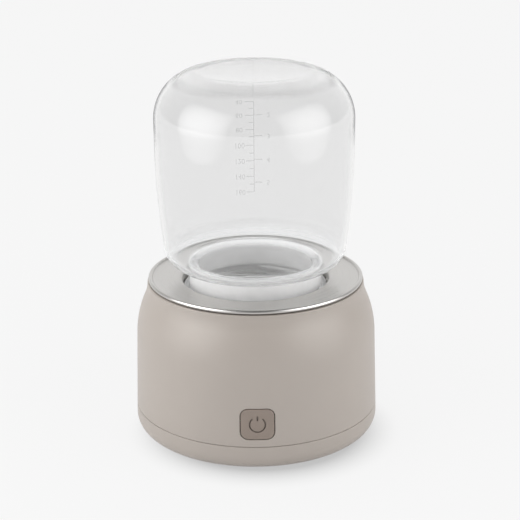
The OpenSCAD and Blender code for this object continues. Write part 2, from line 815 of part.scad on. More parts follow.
module heater_film() {
  color("#b8752f") pile_disc(heater_r, heater_z, heater_t);
}

module heater_insulation() {
  color("#e6e2da") pile_disc(heater_r, insulation_z, insulation_t);
}

module heater_clamp() {
  color("#b4b5b8") pile_disc(clamp_r, clamp_z, clamp_t);
}

module clamp_nut() {
  color("#9a9a9c") translate([0, 0, clamp_nut_z]) nut();
}

module temperature_sensor() {
  color("#3c3c40") translate([sensor_x, 0, clamp_z - sensor_flange_t]) {
    cylinder(r = sensor_flange_r, h = sensor_flange_t);
    cylinder(r = sensor_r, h = cup_bottom_z - clamp_z + sensor_flange_t);
  }
}

module thermal_fuse() {
  color("#d9d4c6") block([fuse_w, fuse_len, fuse_h], [fuse_x, 0, clamp_z - fuse_h]);
}

module heater_leads() {
  color("#b03a2e") for (x = [-heater_lead_x, heater_lead_x])
    wire([for (p = heater_route) [x, p[0], p[1]]], lead_r, [1, 0, 0]);
}

module inner_frame() {
  color("#3f4347") difference() {
    union() {
      translate([0, 0, frame_z]) cylinder(r = shell_in_r - loose, h = frame_t);
      around(board_angles, board_screw_circle) translate([0, 0, frame_z])
        cylinder(r = standoff_r, h = board_z - frame_z);
    }
    around(board_angles, board_screw_circle) translate([0, 0, frame_z - cut])
      cylinder(r = screw_r + tight, h = board_z - frame_z + 2 * cut);
    around(frame_angles, frame_boss_circle) translate([0, 0, frame_z - cut])
      cylinder(r = screw_r + hole_gap, h = frame_t + 2 * cut);
    block(
      [battery_slot_len, 2 * (battery_lead_y + battery_slot_side), frame_t + 2 * cut],
      [tab_x + battery_slot_x + battery_slot_len / 2, 0, frame_z - cut]
    );
    translate([button_lead_x, switch_back_y + button_lead_out, frame_z - cut])
      cylinder(r = button_slot_r, h = frame_t + 2 * cut);
  }
}

module frame_screws() {
  color("#9a9a9c") around(frame_angles, frame_boss_circle) translate([0, 0, frame_z])
    screw(frame_screw_len);
}

module control_board() {
  color("#2f6b46") difference() {
    union() {
      translate([0, 0, board_z]) cylinder(r = board_r, h = board_t);
      translate([-board_tab_w / 2, 0, board_z]) cube([board_tab_w, board_tab_y, board_t]);
    }
    around(board_angles, board_screw_circle) translate([0, 0, board_z - cut])
      cylinder(r = screw_r + hole_gap, h = board_t + 2 * cut);
    translate([button_lead_x, switch_back_y + button_lead_out, board_z - cut])
      cylinder(r = button_slot_r, h = board_t + 2 * cut);
  }
}

module board_screws() {
  color("#9a9a9c") around(board_angles, board_screw_circle) translate([0, 0, board_top_z])
    mirror([0, 0, 1]) screw(board_screw_len);
}

module control_chip() {
  color("#232325") block([chip_w, chip_w, chip_h], [0, chip_y, board_top_z]);
}

module power_inductor() {
  color("#3a3a3c") translate([inductor_x, 0, board_top_z]) cylinder(r = inductor_r, h = inductor_h);
}

module power_transistors() {
  color("#232325") for (side = [-1, 1])
    block(
      [transistor_len, transistor_w, transistor_h],
      [transistor_at[0], side * transistor_at[1], board_top_z]
    );
}

module board_capacitors() {
  color("#41506b") for (side = [-1, 1])
    translate([capacitor_at[0], side * capacitor_at[1], board_top_z])
      cylinder(r = capacitor_r, h = capacitor_h);
}

module battery_plug() {
  color("#efe9dc") {
    block([plug_len, plug_w, plug_h], [plug_x, 0, board_top_z]);
    block([socket_w, socket_len, socket_h], [button_lead_x, socket_y, board_top_z]);
  }
}

module battery_tray() {
  color("#3f4347") intersection() {
    difference() {
      block([2 * (bay_x + tray_wall), 2 * (bay_y + tray_wall), tray_h], [0, 0, floor_z]);
      block([2 * bay_x, 2 * bay_y, tray_h], [0, 0, floor_z + tray_floor]);
    }
    cylinder(r = tray_r, h = floor_z + tray_h);
  }
}

// Round cell along X with its tip towards +X
module cell() {
  rotate([0, 90, 0]) {
    translate([0, 0, -cell_len / 2]) cylinder(d = cell_d, h = cell_len - cell_tip_h);
    translate([0, 0, -cell_len / 2]) cylinder(r = cell_tip_r, h = cell_len);
  }
}

module battery_cell_front() {
  color("#3f7f8f") translate([0, -cell_y, cell_z]) cell();
}

module battery_cell_rear() {
  color("#3f7f8f") translate([0, cell_y, cell_z]) mirror([1, 0, 0]) cell();
}

module battery_tabs() {
  low_z = cell_z - tab_w / 2;
  color("#c9c6bd") {
    translate([-tab_x, -cell_y - tab_w / 2, low_z]) cube([tab_t, 2 * cell_y + tab_w, tab_w]);
    for (side = [-1, 1]) translate([cell_len / 2, side * cell_y - tab_w / 2, low_z])
      cube([tab_t, tab_w, tab_top_z - low_z]);
  }
}

module battery_pad() {
  color("#6e6e70") block([pad_x, pad_y, pad_t], [0, 0, pad_z]);
}

module battery_leads() {
  color("#b03a2e") for (y = [-battery_lead_y, battery_lead_y])
    wire([for (p = battery_route) [p[0], y, p[1]]], lead_r, [0, 1, 0]);
}

module usb_shell() {
  color("#b9babd") difference() {
    prism_y(rounded(usb_w, usb_h, usb_corner_r), usb_mouth_y - usb_len, usb_mouth_y, usb_z);
    prism_y(
      rounded(usb_w - 2 * usb_wall, usb_h - 2 * usb_wall, usb_corner_r - usb_wall),
      usb_mouth_y - usb_len + usb_back, usb_mouth_y + cut, usb_z
    );
  }
}

module usb_tongue() {
  color("#232325") block(
    [tongue_w, tongue_len, tongue_t],
    [0, usb_mouth_y - usb_len + usb_back + tongue_len / 2, usb_z - tongue_t / 2]
  );
}

module switch_board() {
  color("#2f6b46") block(
    [switch_board_w, switch_board_t, switch_board_h],
    [0, switch_board_y + switch_board_t / 2, switch_board_z]
  );
}

module switch_body() {
  color("#232325") difference() {
    block([switch_w, switch_d, switch_w], [0, switch_y + switch_d / 2, button_z - switch_w / 2]);
    translate([0, switch_y + plunger_hole, button_z]) rotate([90, 0, 0])
      cylinder(r = plunger_r + tight, h = plunger_hole + cut);
  }
}

module status_leds() {
  color("#f3f0e6") for (side = [-1, 1])
    block([led_w, led_d, led_h], [side * (switch_w / 2 + led_w), switch_board_y - led_d / 2, button_z]);
}

module button_lead() {
  color("#232325") wire([for (p = button_route) [button_lead_x, p[0], p[1]]], button_lead_r, [1, 0, 0]);
}

// Power symbol: an open ring and a bar, along Y from y0 to y1, thinner by less on each side
module power_symbol(y0, y1, less) {
  half_line = icon_line / 2 - less;
  bar_low = icon_r - icon_bar_in;
  translate([0, y1, button_z]) rotate([90, 0, 0]) {
    rotate_extrude(angle = 360 - icon_opening, start = 90 + icon_opening / 2)
      translate([icon_r - half_line, 0]) square([2 * half_line, y1 - y0]);
    translate([-half_line, bar_low, 0]) cube([2 * half_line, icon_bar_in + icon_bar_out, y1 - y0]);
  }
}

module button_cap() {
  color("#8c8178") difference() {
    union() {
      intersection() {
        prism_y(rounded(button_w, button_h, button_corner_r), button_face_y - cut, button_plate_y, button_z);
        side_solid(button_proud, button_z - button_h, button_z + button_h);
      }
      prism_y(rounded(button_w, keeper_h, keeper_w), button_plate_y - root, button_back_y, keeper_z);
      prism_y(rounded(button_w + 2 * keeper_w, keeper_h, keeper_w), keeper_y, button_back_y, keeper_z);
      translate([0, plunger_y, button_z]) rotate([90, 0, 0])
        cylinder(r = stem_r, h = stem_len + keeper_t / 2);
    }
    power_symbol(button_face_y - cut, button_face_y + icon_sink + icon_t, 0);
  }
}

module button_icon() {
  color("#6f665e") power_symbol(button_face_y + icon_sink, button_face_y + icon_sink + icon_t, tight / 2);
}

module switch_plunger() {
  color("#3c3c40") translate([0, switch_y + plunger_in, button_z]) rotate([90, 0, 0])
    cylinder(r = plunger_r, h = plunger_out + plunger_in);
}

module thread_collar() {
  groove_in = collar_seal_mid_r - collar_seal_w / 2 - tight;
  groove_out = collar_seal_mid_r + collar_seal_w / 2 + tight;
  color("#8f8b86") union() {
    difference() {
      rotate_extrude() polygon([
        [ledge_r, seat_z],
        [groove_in, seat_z],
        [groove_in, seat_z + collar_seal_t],
        [groove_out, seat_z + collar_seal_t],
        [groove_out, seat_z],
        [collar_r - collar_chamfer, seat_z],
        [collar_r, seat_z + collar_chamfer],
        [collar_r, collar_top_z - tight],
        [collar_root_r + collar_lead_in, collar_top_z],
        [collar_root_r, collar_top_z - collar_lead_in],
        [collar_root_r, ledge_z],
        [ledge_r, ledge_z]
      ]);
      around(key_angles, well_r) translate([0, 0, seat_z - cut])
        cylinder(r = key_r + hole_gap, h = collar_top_z - seat_z + 2 * cut);
    }
    thread(
      collar_crest_r, thread_crest_w / 2,
      collar_root_r + thread_sink, sunk_w(thread_sink), 90
    );
  }
}

module collar_seal() {
  color("#d8d5d0") translate([0, 0, seat_z])
    ring(collar_seal_mid_r + collar_seal_w / 2, collar_seal_mid_r - collar_seal_w / 2, collar_seal_t);
}

module neck_seal() {
  color("#d8d5d0") translate([0, 0, ledge_z]) ring(neck_r, ledge_r, neck_seal_t);
}

module neck_sleeve() {
  color("#d8d5d0") rotate_extrude() polygon(concat(
    [[sleeve_in_r, sleeve_low_z], [sleeve_r, sleeve_low_z]],
    arc(neck_fillet_c, sleeve_top_r, sleeve_turn, 180, 5)
  ));
}

module bottle() {
  lean = -barrel_turn;
  inner_low_z = shoulder_low_z + glass_t;
  throat_c = [neck_in_r + inner_throat_r, inner_low_z - inner_throat_r];
  color([0.85, 0.9, 0.92, 0.4]) union() {
    rotate_extrude() polygon(concat(
      arc([neck_r - rim_edge_r, rim_z + rim_edge_r], rim_edge_r, -90, 0, 3),
      arc(neck_fillet_c, neck_fillet_r, 180, 90, 5),
      arc(bottle_shoulder_c, bottle_shoulder_r, -90, lean, 10),
      arc(barrel_c, barrel_r, lean, 0, 10),
      arc(heel_c, heel_r, 0, punt_turn, 14),
      arc(dish_c, dish_r, dish_turn - 90, -90),
      [[0, punt_z - glass_t]],
      arc(heel_c, heel_r - glass_t, heel_in_turn, 0, 12),
      arc(barrel_c, barrel_r - glass_t, 0, lean, 10),
      arc(bottle_shoulder_c, bottle_shoulder_r - glass_t, lean, -90, 8),
      arc(throat_c, inner_throat_r, 90, 180, 5),
      [[neck_in_r, rim_z + rim_edge_r], [neck_in_r + rim_edge_r, rim_z]]
    ));
    thread(neck_r - thread_sink, sunk_w(thread_sink), neck_r + thread_h, thread_crest_w / 2, 0);
  }
}

body_shell();
base_cover();
base_seal();
base_screws();
foot_ring();
heating_cup();
cup_gasket();
cup_nuts();
heater_film();
heater_insulation();
heater_clamp();
clamp_nut();
temperature_sensor();
thermal_fuse();
heater_leads();
inner_frame();
frame_screws();
control_board();
board_screws();
control_chip();
power_inductor();
power_transistors();
board_capacitors();
battery_plug();
battery_tray();
battery_cell_front();
battery_cell_rear();
battery_tabs();
battery_pad();
battery_leads();
usb_shell();
usb_tongue();
switch_board();
switch_body();
status_leds();
button_lead();
button_cap();
button_icon();
switch_plunger();
thread_collar();
collar_seal();
neck_seal();
neck_sleeve();
bottle();
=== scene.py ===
import json
import math

import bmesh
import bpy
from mathutils import Matrix, Vector


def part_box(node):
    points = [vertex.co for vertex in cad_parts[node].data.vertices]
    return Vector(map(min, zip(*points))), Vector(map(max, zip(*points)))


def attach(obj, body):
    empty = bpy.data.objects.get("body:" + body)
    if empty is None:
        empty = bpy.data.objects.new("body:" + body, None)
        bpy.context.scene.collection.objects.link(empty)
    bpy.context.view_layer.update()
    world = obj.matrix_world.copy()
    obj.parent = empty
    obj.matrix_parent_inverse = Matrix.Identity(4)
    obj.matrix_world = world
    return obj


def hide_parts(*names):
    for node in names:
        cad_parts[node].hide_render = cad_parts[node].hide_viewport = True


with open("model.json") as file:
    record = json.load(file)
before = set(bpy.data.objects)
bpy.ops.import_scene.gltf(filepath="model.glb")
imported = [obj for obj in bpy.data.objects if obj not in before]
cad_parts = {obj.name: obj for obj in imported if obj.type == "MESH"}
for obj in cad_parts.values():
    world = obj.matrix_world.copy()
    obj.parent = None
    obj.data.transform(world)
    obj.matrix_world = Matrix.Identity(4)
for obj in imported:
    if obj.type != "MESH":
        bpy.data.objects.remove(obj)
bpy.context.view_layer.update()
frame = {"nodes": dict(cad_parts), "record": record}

# Shapes are drawn in millimetres and become metres when they are made into objects. In names, R is a radius,
# C a centre, W a width, H a height, T a thickness and Z a height above the floor
MM = 0.001
ROUND_STEPS = 192
CORNER_STEPS = 8
CUT_SPARE = 1
MERGE_REACH = 1e-4
ON_WALL = 1e-3


def corners(node):
    """A node's lowest and highest corners, in millimetres."""
    low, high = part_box(node)
    return low / MM, high / MM


def sine(degrees):
    return math.sin(math.radians(degrees))


def cosine(degrees):
    return math.cos(math.radians(degrees))


def polar(centre, radius, degrees):
    return (centre[0] + radius * cosine(degrees), centre[1] + radius * sine(degrees))


def arc(centre, radius, start, end, steps):
    """The points of an arc in the plane of radius and height, from one angle to another."""
    return [polar(centre, radius, start + (end - start) * i / steps) for i in range(steps + 1)]


def straight(first, last, steps):
    """The points of a straight stretch, both ends included."""
    shares = [i / steps for i in range(steps + 1)]
    return [tuple(start + (end - start) * share for start, end in zip(first, last)) for share in shares]


# Body sizes
SIDE_DRAFT = 1.65
SHOULDER_LEAD = 1
SHOULDER_R = 34
SHOULDER_TURN = 24
HOLLOW_R = 15
HOLLOW_END = 1.5
SHELL_WALL = 2.2
TOP_PLATE = 2.4
PLATE_HOLE_R = 27.4
TOP_EDGE_R = 0.4
SEAM_EDGE_R = 0.18
SEAM_GAP = 0.16
SEAL_RISE = 1.6
BASE_EDGE_R = 5.7
SHELL_HIGH = corners("body_shell")[1]
COVER_LOW = corners("base_cover")[0].z
BASE_SEAL_LOW, BASE_SEAL_HIGH = corners("base_seal")
SEAM_Z = (BASE_SEAL_LOW.z + BASE_SEAL_HIGH.z) / 2 - SEAL_RISE
SHELL_Z = SEAM_Z + SEAM_GAP / 2
COVER_TOP = SEAM_Z - SEAM_GAP / 2
BODY_TOP = SHELL_HIGH.z
SHOULDER_RISE = SHOULDER_R * (sine(SHOULDER_TURN) - sine(SIDE_DRAFT))
SHOULDER_Z = BODY_TOP - SHOULDER_RISE - HOLLOW_R * sine(SHOULDER_TURN)
SIDE_SLOPE = math.tan(math.radians(SIDE_DRAFT))
BODY_R = SHELL_HIGH.x - (SHOULDER_Z - SEAM_Z) * SIDE_SLOPE
SHOULDER_C = (BODY_R - SHOULDER_R * cosine(SIDE_DRAFT), SHOULDER_Z - SHOULDER_R * sine(SIDE_DRAFT))
HOLLOW_C = polar(SHOULDER_C, SHOULDER_R + HOLLOW_R, SHOULDER_TURN)

# Foot ring
FOOT_LOW, FOOT_HIGH = corners("foot_ring")
FOOT_W = 6
FOOT_EDGE_R = 0.5
FOOT_FIT = 0.05

# Button and inlet
CAP_LOW, CAP_HIGH = corners("button_cap")
CAP_MID_Z = (CAP_LOW.z + CAP_HIGH.z) / 2
BUTTON_W = 11.6
BUTTON_H = 11
BUTTON_CORNER = 2.6
BUTTON_GAP = 0.25
BUTTON_PROUD = 0.15
BUTTON_DEPTH = 3
BUTTON_EDGE_R = 0.35
HOLE_EDGE_R = 0.15
HOLE_DEPTH = 8
ICON_R = 2.7
ICON_LINE = 0.5
ICON_OPENING = 80
ICON_SINK = 0.25
ICON_T = 0.6
ICON_FIT = 0.01
ICON_BAR_LOW = 1.4
ICON_BAR_HIGH = 3.1
INLET_LOW, INLET_HIGH = corners("usb_shell")
INLET_W = INLET_HIGH.x - INLET_LOW.x
INLET_H = 3.2
INLET_CORNER = 1.4
INLET_GAP = 0.3
INLET_Z = INLET_HIGH.z - INLET_H / 2
INLET_WALL = 0.32
TONGUE_LOW, TONGUE_HIGH = corners("usb_tongue")
TONGUE_EDGE_R = 0.15
FINGERS = 12
FINGER_W = 0.34
FINGER_PITCH = 0.5
FINGER_PROUD = 0.05
FINGER_EDGE_R = 0.02
FINGER_BACK = 3.2
FINGER_FRONT = 0.5

# Heating cup
CUP_HIGH = corners("heating_cup")[1]
BEAD_R = 0.75
BEAD_FILLET = 0.4
SHEET = 0.6
WELL_R = 26
BEND_R = 1.4
SEAT_BEND_R = 0.8
CHAMBER_R = 19.5
CHAMBER_BEND_R = 2
KEY_R = 0.8
KEY_ANGLES = (0, 120, 240)
RIM_R = CUP_HIGH.x
FLANGE_TOP = CUP_HIGH.z - BEAD_R
CHAMBER_Z = corners("heater_film")[1].z + SHEET

# Thread collar and its seals
COLLAR_LOW, COLLAR_HIGH = corners("thread_collar")
COLLAR_WALL = 1.5
COLLAR_CHAMFER = 1.2
COLLAR_LEAD_IN = 0.9
COLLAR_EDGE_R = 0.25
COLLAR_ROOT_R = COLLAR_HIGH.x - COLLAR_WALL
SEAT_Z = COLLAR_LOW.z
NECK_SEAL_LOW, NECK_SEAL_HIGH = corners("neck_seal")
LEDGE_R = 20.3
SEAL_EDGE_R = 0.35
COLLAR_SEAL_LOW, COLLAR_SEAL_HIGH = corners("collar_seal")
COLLAR_SEAL_W = 1.2
COLLAR_SEAL_IN = COLLAR_SEAL_HIGH.x - COLLAR_SEAL_W

# Bottle, standing on its mouth
BOTTLE_LOW, BOTTLE_HIGH = corners("bottle")
NECK_WALL = 2.2
BOTTLE_WALL = 1.3
NECK_LEN = 15
NECK_R = NECK_SEAL_HIGH.x
NECK_FILLET_R = 1.5
THROAT_R = 2.5
BOTTLE_SHOULDER_R = 7
BARREL_R = 300
BARREL_STRAIGHT = 7.4
HEEL_R = 17
RIDGE_R = 9
RIDGE_INNER_R = 12
RIDGE_TURN = 80
DISH_SLOPE = 5
RIM_Z = BOTTLE_LOW.z
BOTTLE_R = BOTTLE_HIGH.x
SHOULDER_LOW = RIM_Z + NECK_LEN
NECK_FILLET_C = (NECK_R + NECK_FILLET_R, SHOULDER_LOW - NECK_FILLET_R)
HEEL_C = (BOTTLE_R - HEEL_R, BOTTLE_HIGH.z - RIDGE_R - (HEEL_R - RIDGE_R) * sine(RIDGE_TURN))
BELLY_Z = HEEL_C[1] - BARREL_STRAIGHT
BARREL_C = (BOTTLE_R - BARREL_R, BELLY_Z)
BARREL_REACH = BARREL_R - BOTTLE_SHOULDER_R
BARREL_LEAN = math.degrees(math.asin((BELLY_Z - SHOULDER_LOW - BOTTLE_SHOULDER_R) / BARREL_REACH))
BOTTLE_SHOULDER_C = polar(BARREL_C, BARREL_REACH, -BARREL_LEAN)
SLEEVE_LOW, SLEEVE_HIGH = corners("neck_sleeve")
SLEEVE_FIT = 0.05
SLEEVE_EDGE_R = 0.4

# Zones of the glass: where each edge of a zone starts and where it is full, then the zone's share
MILKY_RISE = (SHOULDER_LOW - 0.85, SHOULDER_LOW + 0.15)
MILKY_FALL = (SHOULDER_LOW + 7.15, SHOULDER_LOW + 2.15)
MILKY = 0.31
CLEARED_RISE = (NECK_R + 0.6, NECK_R + 2.6)
CLEARED_FALL = (NECK_R + 7.1, NECK_R + 5.1)
CLEARED = 0.9
# Painted shade: a dark grey mixed into the glass along the heel's edge, where it turns away from view
EDGE_SHADE_RISE = (HEEL_C[1] - 9.42, HEEL_C[1] - 1.42)
EDGE_SHADE_FALL = (BOTTLE_HIGH.z - 3.3, BOTTLE_HIGH.z - 5.3)
EDGE_SHADE_SKIN = (HEEL_R - BOTTLE_WALL / 2, HEEL_R - BOTTLE_WALL / 2 + 0.2)
EDGE_SHADE_FACING = (0.75, 0.917)
EDGE_SHADE = 0.9
THIN_RISE = (BOTTLE_HIGH.z - 4.3, BOTTLE_HIGH.z - 2.3)
THIN = 0.45

# Two-start screw thread
THREAD_H = 1.4
THREAD_LEAD = 7
THREAD_STARTS = (0, 180)
THREAD_SWEEP = 180
THREAD_ROOT_HALF = 0.95
THREAD_CREST_HALF = 0.5
THREAD_FADE = 14
THREAD_FIRST = 1.5
THREAD_Z = RIM_Z + THREAD_FIRST
COLLAR_THREAD_TURN = 90

# Printed scale on the bottle's far side
SCALE_FIRST_Z = 114
SCALE_STEP = 5.9
SCALE_ML = (40, 60, 80, 100, 120, 140, 160)
SCALE_OUNCE_STEP = 8.7
SCALE_OUNCES = (2, 3, 4, 5)
SCALE_OUNCE_Z = 108.4
SCALE_LINE_W = 0.3
TICK_LONG = 3.2
TICK_SHORT = 1.8
NUMBER_SIZE = 2.8
NUMBER_SHIFT = 5.6
INK_T = 0.02

# Camera, where the photograph was taken from
CAMERA_PLACE = (0.00165, -0.5334, 0.2469)
CAMERA_TURN = -0.5
CAMERA_DOWN = 19.03
CAMERA_ROLL = -0.42
CAMERA_LENS = 109.04
CAMERA_SENSOR = 36

# Studio, with its lengths in metres
PALE_LEVEL = 246
FLOOR_HALF = 4
FLOOR_LIT = 0.06
FLOOR_GLOW = 0.888
FLOOR_DIP = 0.04
FLOOR_FADE = 2
# Painted shadow: the floor's glow is dimmed in a soft spot under the object, set a little to the front and
# right
PAINTED_SHADOW_PLACE = (0.0025, -0.006, 0)
PAINTED_SHADOW_R = 0.035
PAINTED_SHADOW_FADE = 0.016
PAINTED_SHADOW_DIM = 0.4
ROOM_DIM = 0.15
ROOM_BACK = 0.85
ROOM_RISE = (0.154, 0.923)
DOME_LOW = 0.2
DOME_RISE = 0.46
DOME_BACK = 0.25
CARD_AIM = (0, 0, 0.1)
CARD_SIZE = (0.46, 0.46)
LAMP_FALL = 0.8
GLASS_BOUNCES = 24


def side_r(height):
    """The radius of the body's side at a height."""
    return BODY_R + (SHOULDER_Z - height) * SIDE_SLOPE


def barrel_r(height):
    """The radius of the bottle's barrel at a height."""
    return BARREL_C[0] + math.sqrt(BARREL_R ** 2 - (height - BELLY_Z) ** 2)


class Wire:
    """An output of a node. Sums, products and powers of wires add Math nodes."""

    def __init__(self, finish, socket):
        self.finish = finish
        self.socket = socket

    def maths(self, operation, first, second):
        return self.finish.node("ShaderNodeMath", {"operation": operation}, {0: first, 1: second})

    def __add__(self, other):
        return self.maths("ADD", self, other)

    def __radd__(self, other):
        return self.maths("ADD", other, self)

    def __sub__(self, other):
        return self.maths("SUBTRACT", self, other)

    def __rsub__(self, other):
        return self.maths("SUBTRACT", other, self)

    def __mul__(self, other):
        return self.maths("MULTIPLY", self, other)

    def __rmul__(self, other):
        return self.maths("MULTIPLY", other, self)

    def __pow__(self, other):
        return self.maths("POWER", self, other)

    def __rpow__(self, other):
        return self.maths("POWER", other, self)


class Finish:
    """The node tree of a material, a lamp or the world."""

    def __init__(self, owner):
        owner.use_nodes = True
        self.owner = owner
        self.tree = owner.node_tree
        self.tree.nodes.clear()

    def node(self, kind, settings=None, sockets=None, output=0):
        """Adds a node with its settings and its sockets' values or wires, and gives one output."""
        made = self.tree.nodes.new(kind)
        for name, value in (settings or {}).items():
            setattr(made, name, value)
        for name, value in (sockets or {}).items():
            if isinstance(value, Wire):
                self.tree.links.new(value.socket, made.inputs[name])
            else:
                made.inputs[name].default_value = value
        return Wire(self, made.outputs[output]) if made.outputs else None

    def place(self):
        return self.node("ShaderNodeTexCoord", output="Object")

    def noise(self, scale, detail, stretch=None):
        """Soft noise around 0.5; scale is in waves a metre."""
        where = self.place()
        if stretch:
            where = self.node("ShaderNodeVectorMath", {"operation": "MULTIPLY"}, {0: where, 1: stretch})
        return self.node("ShaderNodeTexNoise", None, {"Vector": where, "Scale": scale, "Detail": detail})

    def split(self, vector):
        """The three parts of a vector."""
        parts = self.node("ShaderNodeSeparateXYZ", None, {0: vector}).socket.node
        return [Wire(self, output) for output in parts.outputs]

    def turned(self):
        """The distance from the upright axis, and the height."""
        across, along, height = self.split(self.place())
        return (across * across + along * along) ** 0.5, height

    def rings(self, scale):
        """Noise that changes only with the distance from the upright axis and the height."""
        reach, height = self.turned()
        sockets = {"W": reach + height, "Scale": scale, "Detail": 3}
        return self.node("ShaderNodeTexNoise", {"noise_dimensions": "1D"}, sockets)

    def blend(self, first, second, mask):
        """A colour between two colours."""
        return self.node("ShaderNodeMix", {"data_type": "RGBA"}, {0: mask, 6: first, 7: second}, 2)

    def bump(self, height, strength, depth):
        """A bump of a depth in millimetres."""
        sockets = {"Strength": strength, "Distance": depth * MM, "Height": height}
        return self.node("ShaderNodeBump", None, sockets)

    def clamped(self, value):
        return self.node("ShaderNodeClamp", None, {"Value": value})

    def ramp(self, value, ends):
        """0 up to the first end and 1 from the last, with a straight rise between them."""
        start, full = ends
        return self.clamped((value - start) * (1 / (full - start)))

    def mixed(self, first, second, mask):
        """A shader between two shaders."""
        return self.node("ShaderNodeMixShader", None, {0: mask, 1: first, 2: second})

    def shader(self, **sockets):
        """A shader with these sockets, whose names have _ for spaces."""
        named = {name.replace("_", " "): value for name, value in sockets.items()}
        return self.node("ShaderNodeBsdfPrincipled", None, named)

    def ended(self, shader):
        """Ends a material in a shader."""
        self.node("ShaderNodeOutputMaterial", None, {"Surface": shader})
        return self.owner

    def surface(self, **sockets):
        """Ends a material in a shader with these sockets."""
        return self.ended(self.shader(**sockets))


def material(name):
    return Finish(bpy.data.materials.new(name))


def tone(red, green, blue):
    """A colour as screens show it, 0 to 255, in the linear values that shaders take."""
    parts = [value / 255 for value in (red, green, blue)]
    linear = [part / 12.92 if part <= 0.04045 else ((part + 0.055) / 1.055) ** 2.4 for part in parts]
    return (*linear, 1)


def shade(colour, factor):
    return (*[min(1, part * factor) for part in colour[:3]], 1)


def moulded_plastic(name, colour, roughness):
    """Plastic from a lightly eroded mould: a fine grain, with hardly any change of tone."""
    finish = material(name)
    cloud = finish.noise(45, 3)
    grain = finish.noise(3200, 3)
    return finish.surface(
        Base_Color=finish.blend(shade(colour, 0.97), shade(colour, 1.03), cloud),
        Roughness=(grain - 0.5) * 0.16 + (cloud - 0.5) * 0.06 + roughness,
        Specular_IOR_Level=0.4,
        Normal=finish.bump(grain, 0.35, 0.02),
    )


def rubber(name, colour, roughness=0.7):
    """Silicone or rubber: dusty, with a soft skin."""
    finish = material(name)
    dust = finish.noise(260, 5)
    skin = finish.noise(1500, 2)
    return finish.surface(
        Base_Color=finish.blend(shade(colour, 0.92), shade(colour, 1.1), dust),
        Roughness=(dust - 0.5) * 0.2 + roughness,
        Specular_IOR_Level=0.3,
        Normal=finish.bump(skin, 0.25, 0.03),
    )


def spun_steel(name, colour):
    """Stainless sheet brushed on a turning lathe, so its fine lines run in rings."""
    finish = material(name)
    lines = finish.rings(9000)
    cloud = finish.noise(70, 3)
    return finish.surface(
        Base_Color=finish.blend(shade(colour, 0.94), shade(colour, 1.04), lines),
        Metallic=1.0,
        Roughness=(lines - 0.5) * 0.12 + (cloud - 0.5) * 0.08 + 0.3,
        Normal=finish.bump(lines, 0.12, 0.01),
    )


def bright_metal(name, colour, roughness):
    """Plated or drawn metal with a faint grain."""
    finish = material(name)
    grain = finish.noise(900, 3, stretch=(1, 1, 0.15))
    return finish.surface(
        Base_Color=finish.blend(shade(colour, 0.9), shade(colour, 1.06), grain),
        Metallic=1.0,
        Roughness=(grain - 0.5) * 0.2 + roughness,
        Normal=finish.bump(grain, 0.1, 0.01),
    )


def felt(name, colour, scale=1400):
    """Matted fibre or foam."""
    finish = material(name)
    fibre = finish.noise(scale, 6)
    return finish.surface(
        Base_Color=finish.blend(shade(colour, 0.75), shade(colour, 1.15), fibre),
        Roughness=(fibre - 0.5) * 0.2 + 0.85,
        Normal=finish.bump(fibre, 0.6, 0.1),
    )


def heater_foil(name):
    """Amber film with a dark track wound through it in rings."""
    finish = material(name)
    track = finish.rings(900)
    mask = finish.node("ShaderNodeMath", {"operation": "GREATER_THAN"}, {0: track, 1: 0.52})
    return finish.surface(
        Base_Color=finish.blend(tone(176, 104, 36), tone(74, 52, 34), mask),
        Roughness=0.35 + mask * 0.15,
        Normal=finish.bump(mask, 0.2, 0.02),
    )


def circuit_board(name):
    """Green lacquer over copper tracks."""
    finish = material(name)
    cells = {"Vector": finish.place(), "Scale": 420}
    tracks = finish.node("ShaderNodeTexVoronoi", {"feature": "DISTANCE_TO_EDGE"}, cells)
    mask = finish.node("ShaderNodeMath", {"operation": "LESS_THAN"}, {0: tracks, 1: 0.06})
    return finish.surface(
        Base_Color=finish.blend(tone(24, 84, 58), tone(62, 128, 86), mask),
        Roughness=0.4 - mask * 0.08,
        Normal=finish.bump(mask, 0.3, 0.03),
    )


def clear_glass(name):
    """Wavy clear glass with painted shade along the heel's edge, milky at the shoulder and thin on top."""
    finish = material(name)
    wave = finish.noise(38, 2)
    haze = finish.noise(160, 4)
    reach, height = [metres * (1 / MM) for metres in finish.turned()]
    facing = finish.node("ShaderNodeLayerWeight", None, {"Blend": 0.5}, "Facing")
    # Where the heel's edge turns away from view, for the painted shade
    heel_r = ((reach - HEEL_C[0]) ** 2 + (height - HEEL_C[1]) ** 2) ** 0.5
    heel = finish.ramp(height, EDGE_SHADE_RISE) * finish.ramp(height, EDGE_SHADE_FALL) * finish.ramp(heel_r, EDGE_SHADE_SKIN)
    edge = finish.ramp(facing, EDGE_SHADE_FACING) * heel
    cleared = finish.ramp(reach, CLEARED_RISE) * finish.ramp(reach, CLEARED_FALL)
    shoulder = finish.ramp(height, MILKY_RISE) * finish.ramp(height, MILKY_FALL) * (1 - cleared * CLEARED)
    clear = finish.shader(
        Base_Color=(0.914, 0.914, 0.914, 1),
        Roughness=haze * 0.02,
        IOR=1.47,
        Transmission_Weight=1.0,
        Normal=finish.bump(wave, 0.08, 0.5),
    )
    milky = finish.shader(Base_Color=tone(244, 245, 246), Roughness=0.25)
    # Painted shade: a dark grey mixed in along the heel's edge
    dark = finish.shader(Base_Color=tone(100, 100, 102), Roughness=0.5)
    thin = finish.node("ShaderNodeBsdfTransparent", None, {"Color": (1, 1, 1, 1)})
    whole = finish.mixed(clear, milky, shoulder * MILKY)
    whole = finish.mixed(whole, thin, finish.ramp(height, THIN_RISE) * THIN)
    return finish.ended(finish.mixed(whole, dark, edge * EDGE_SHADE))


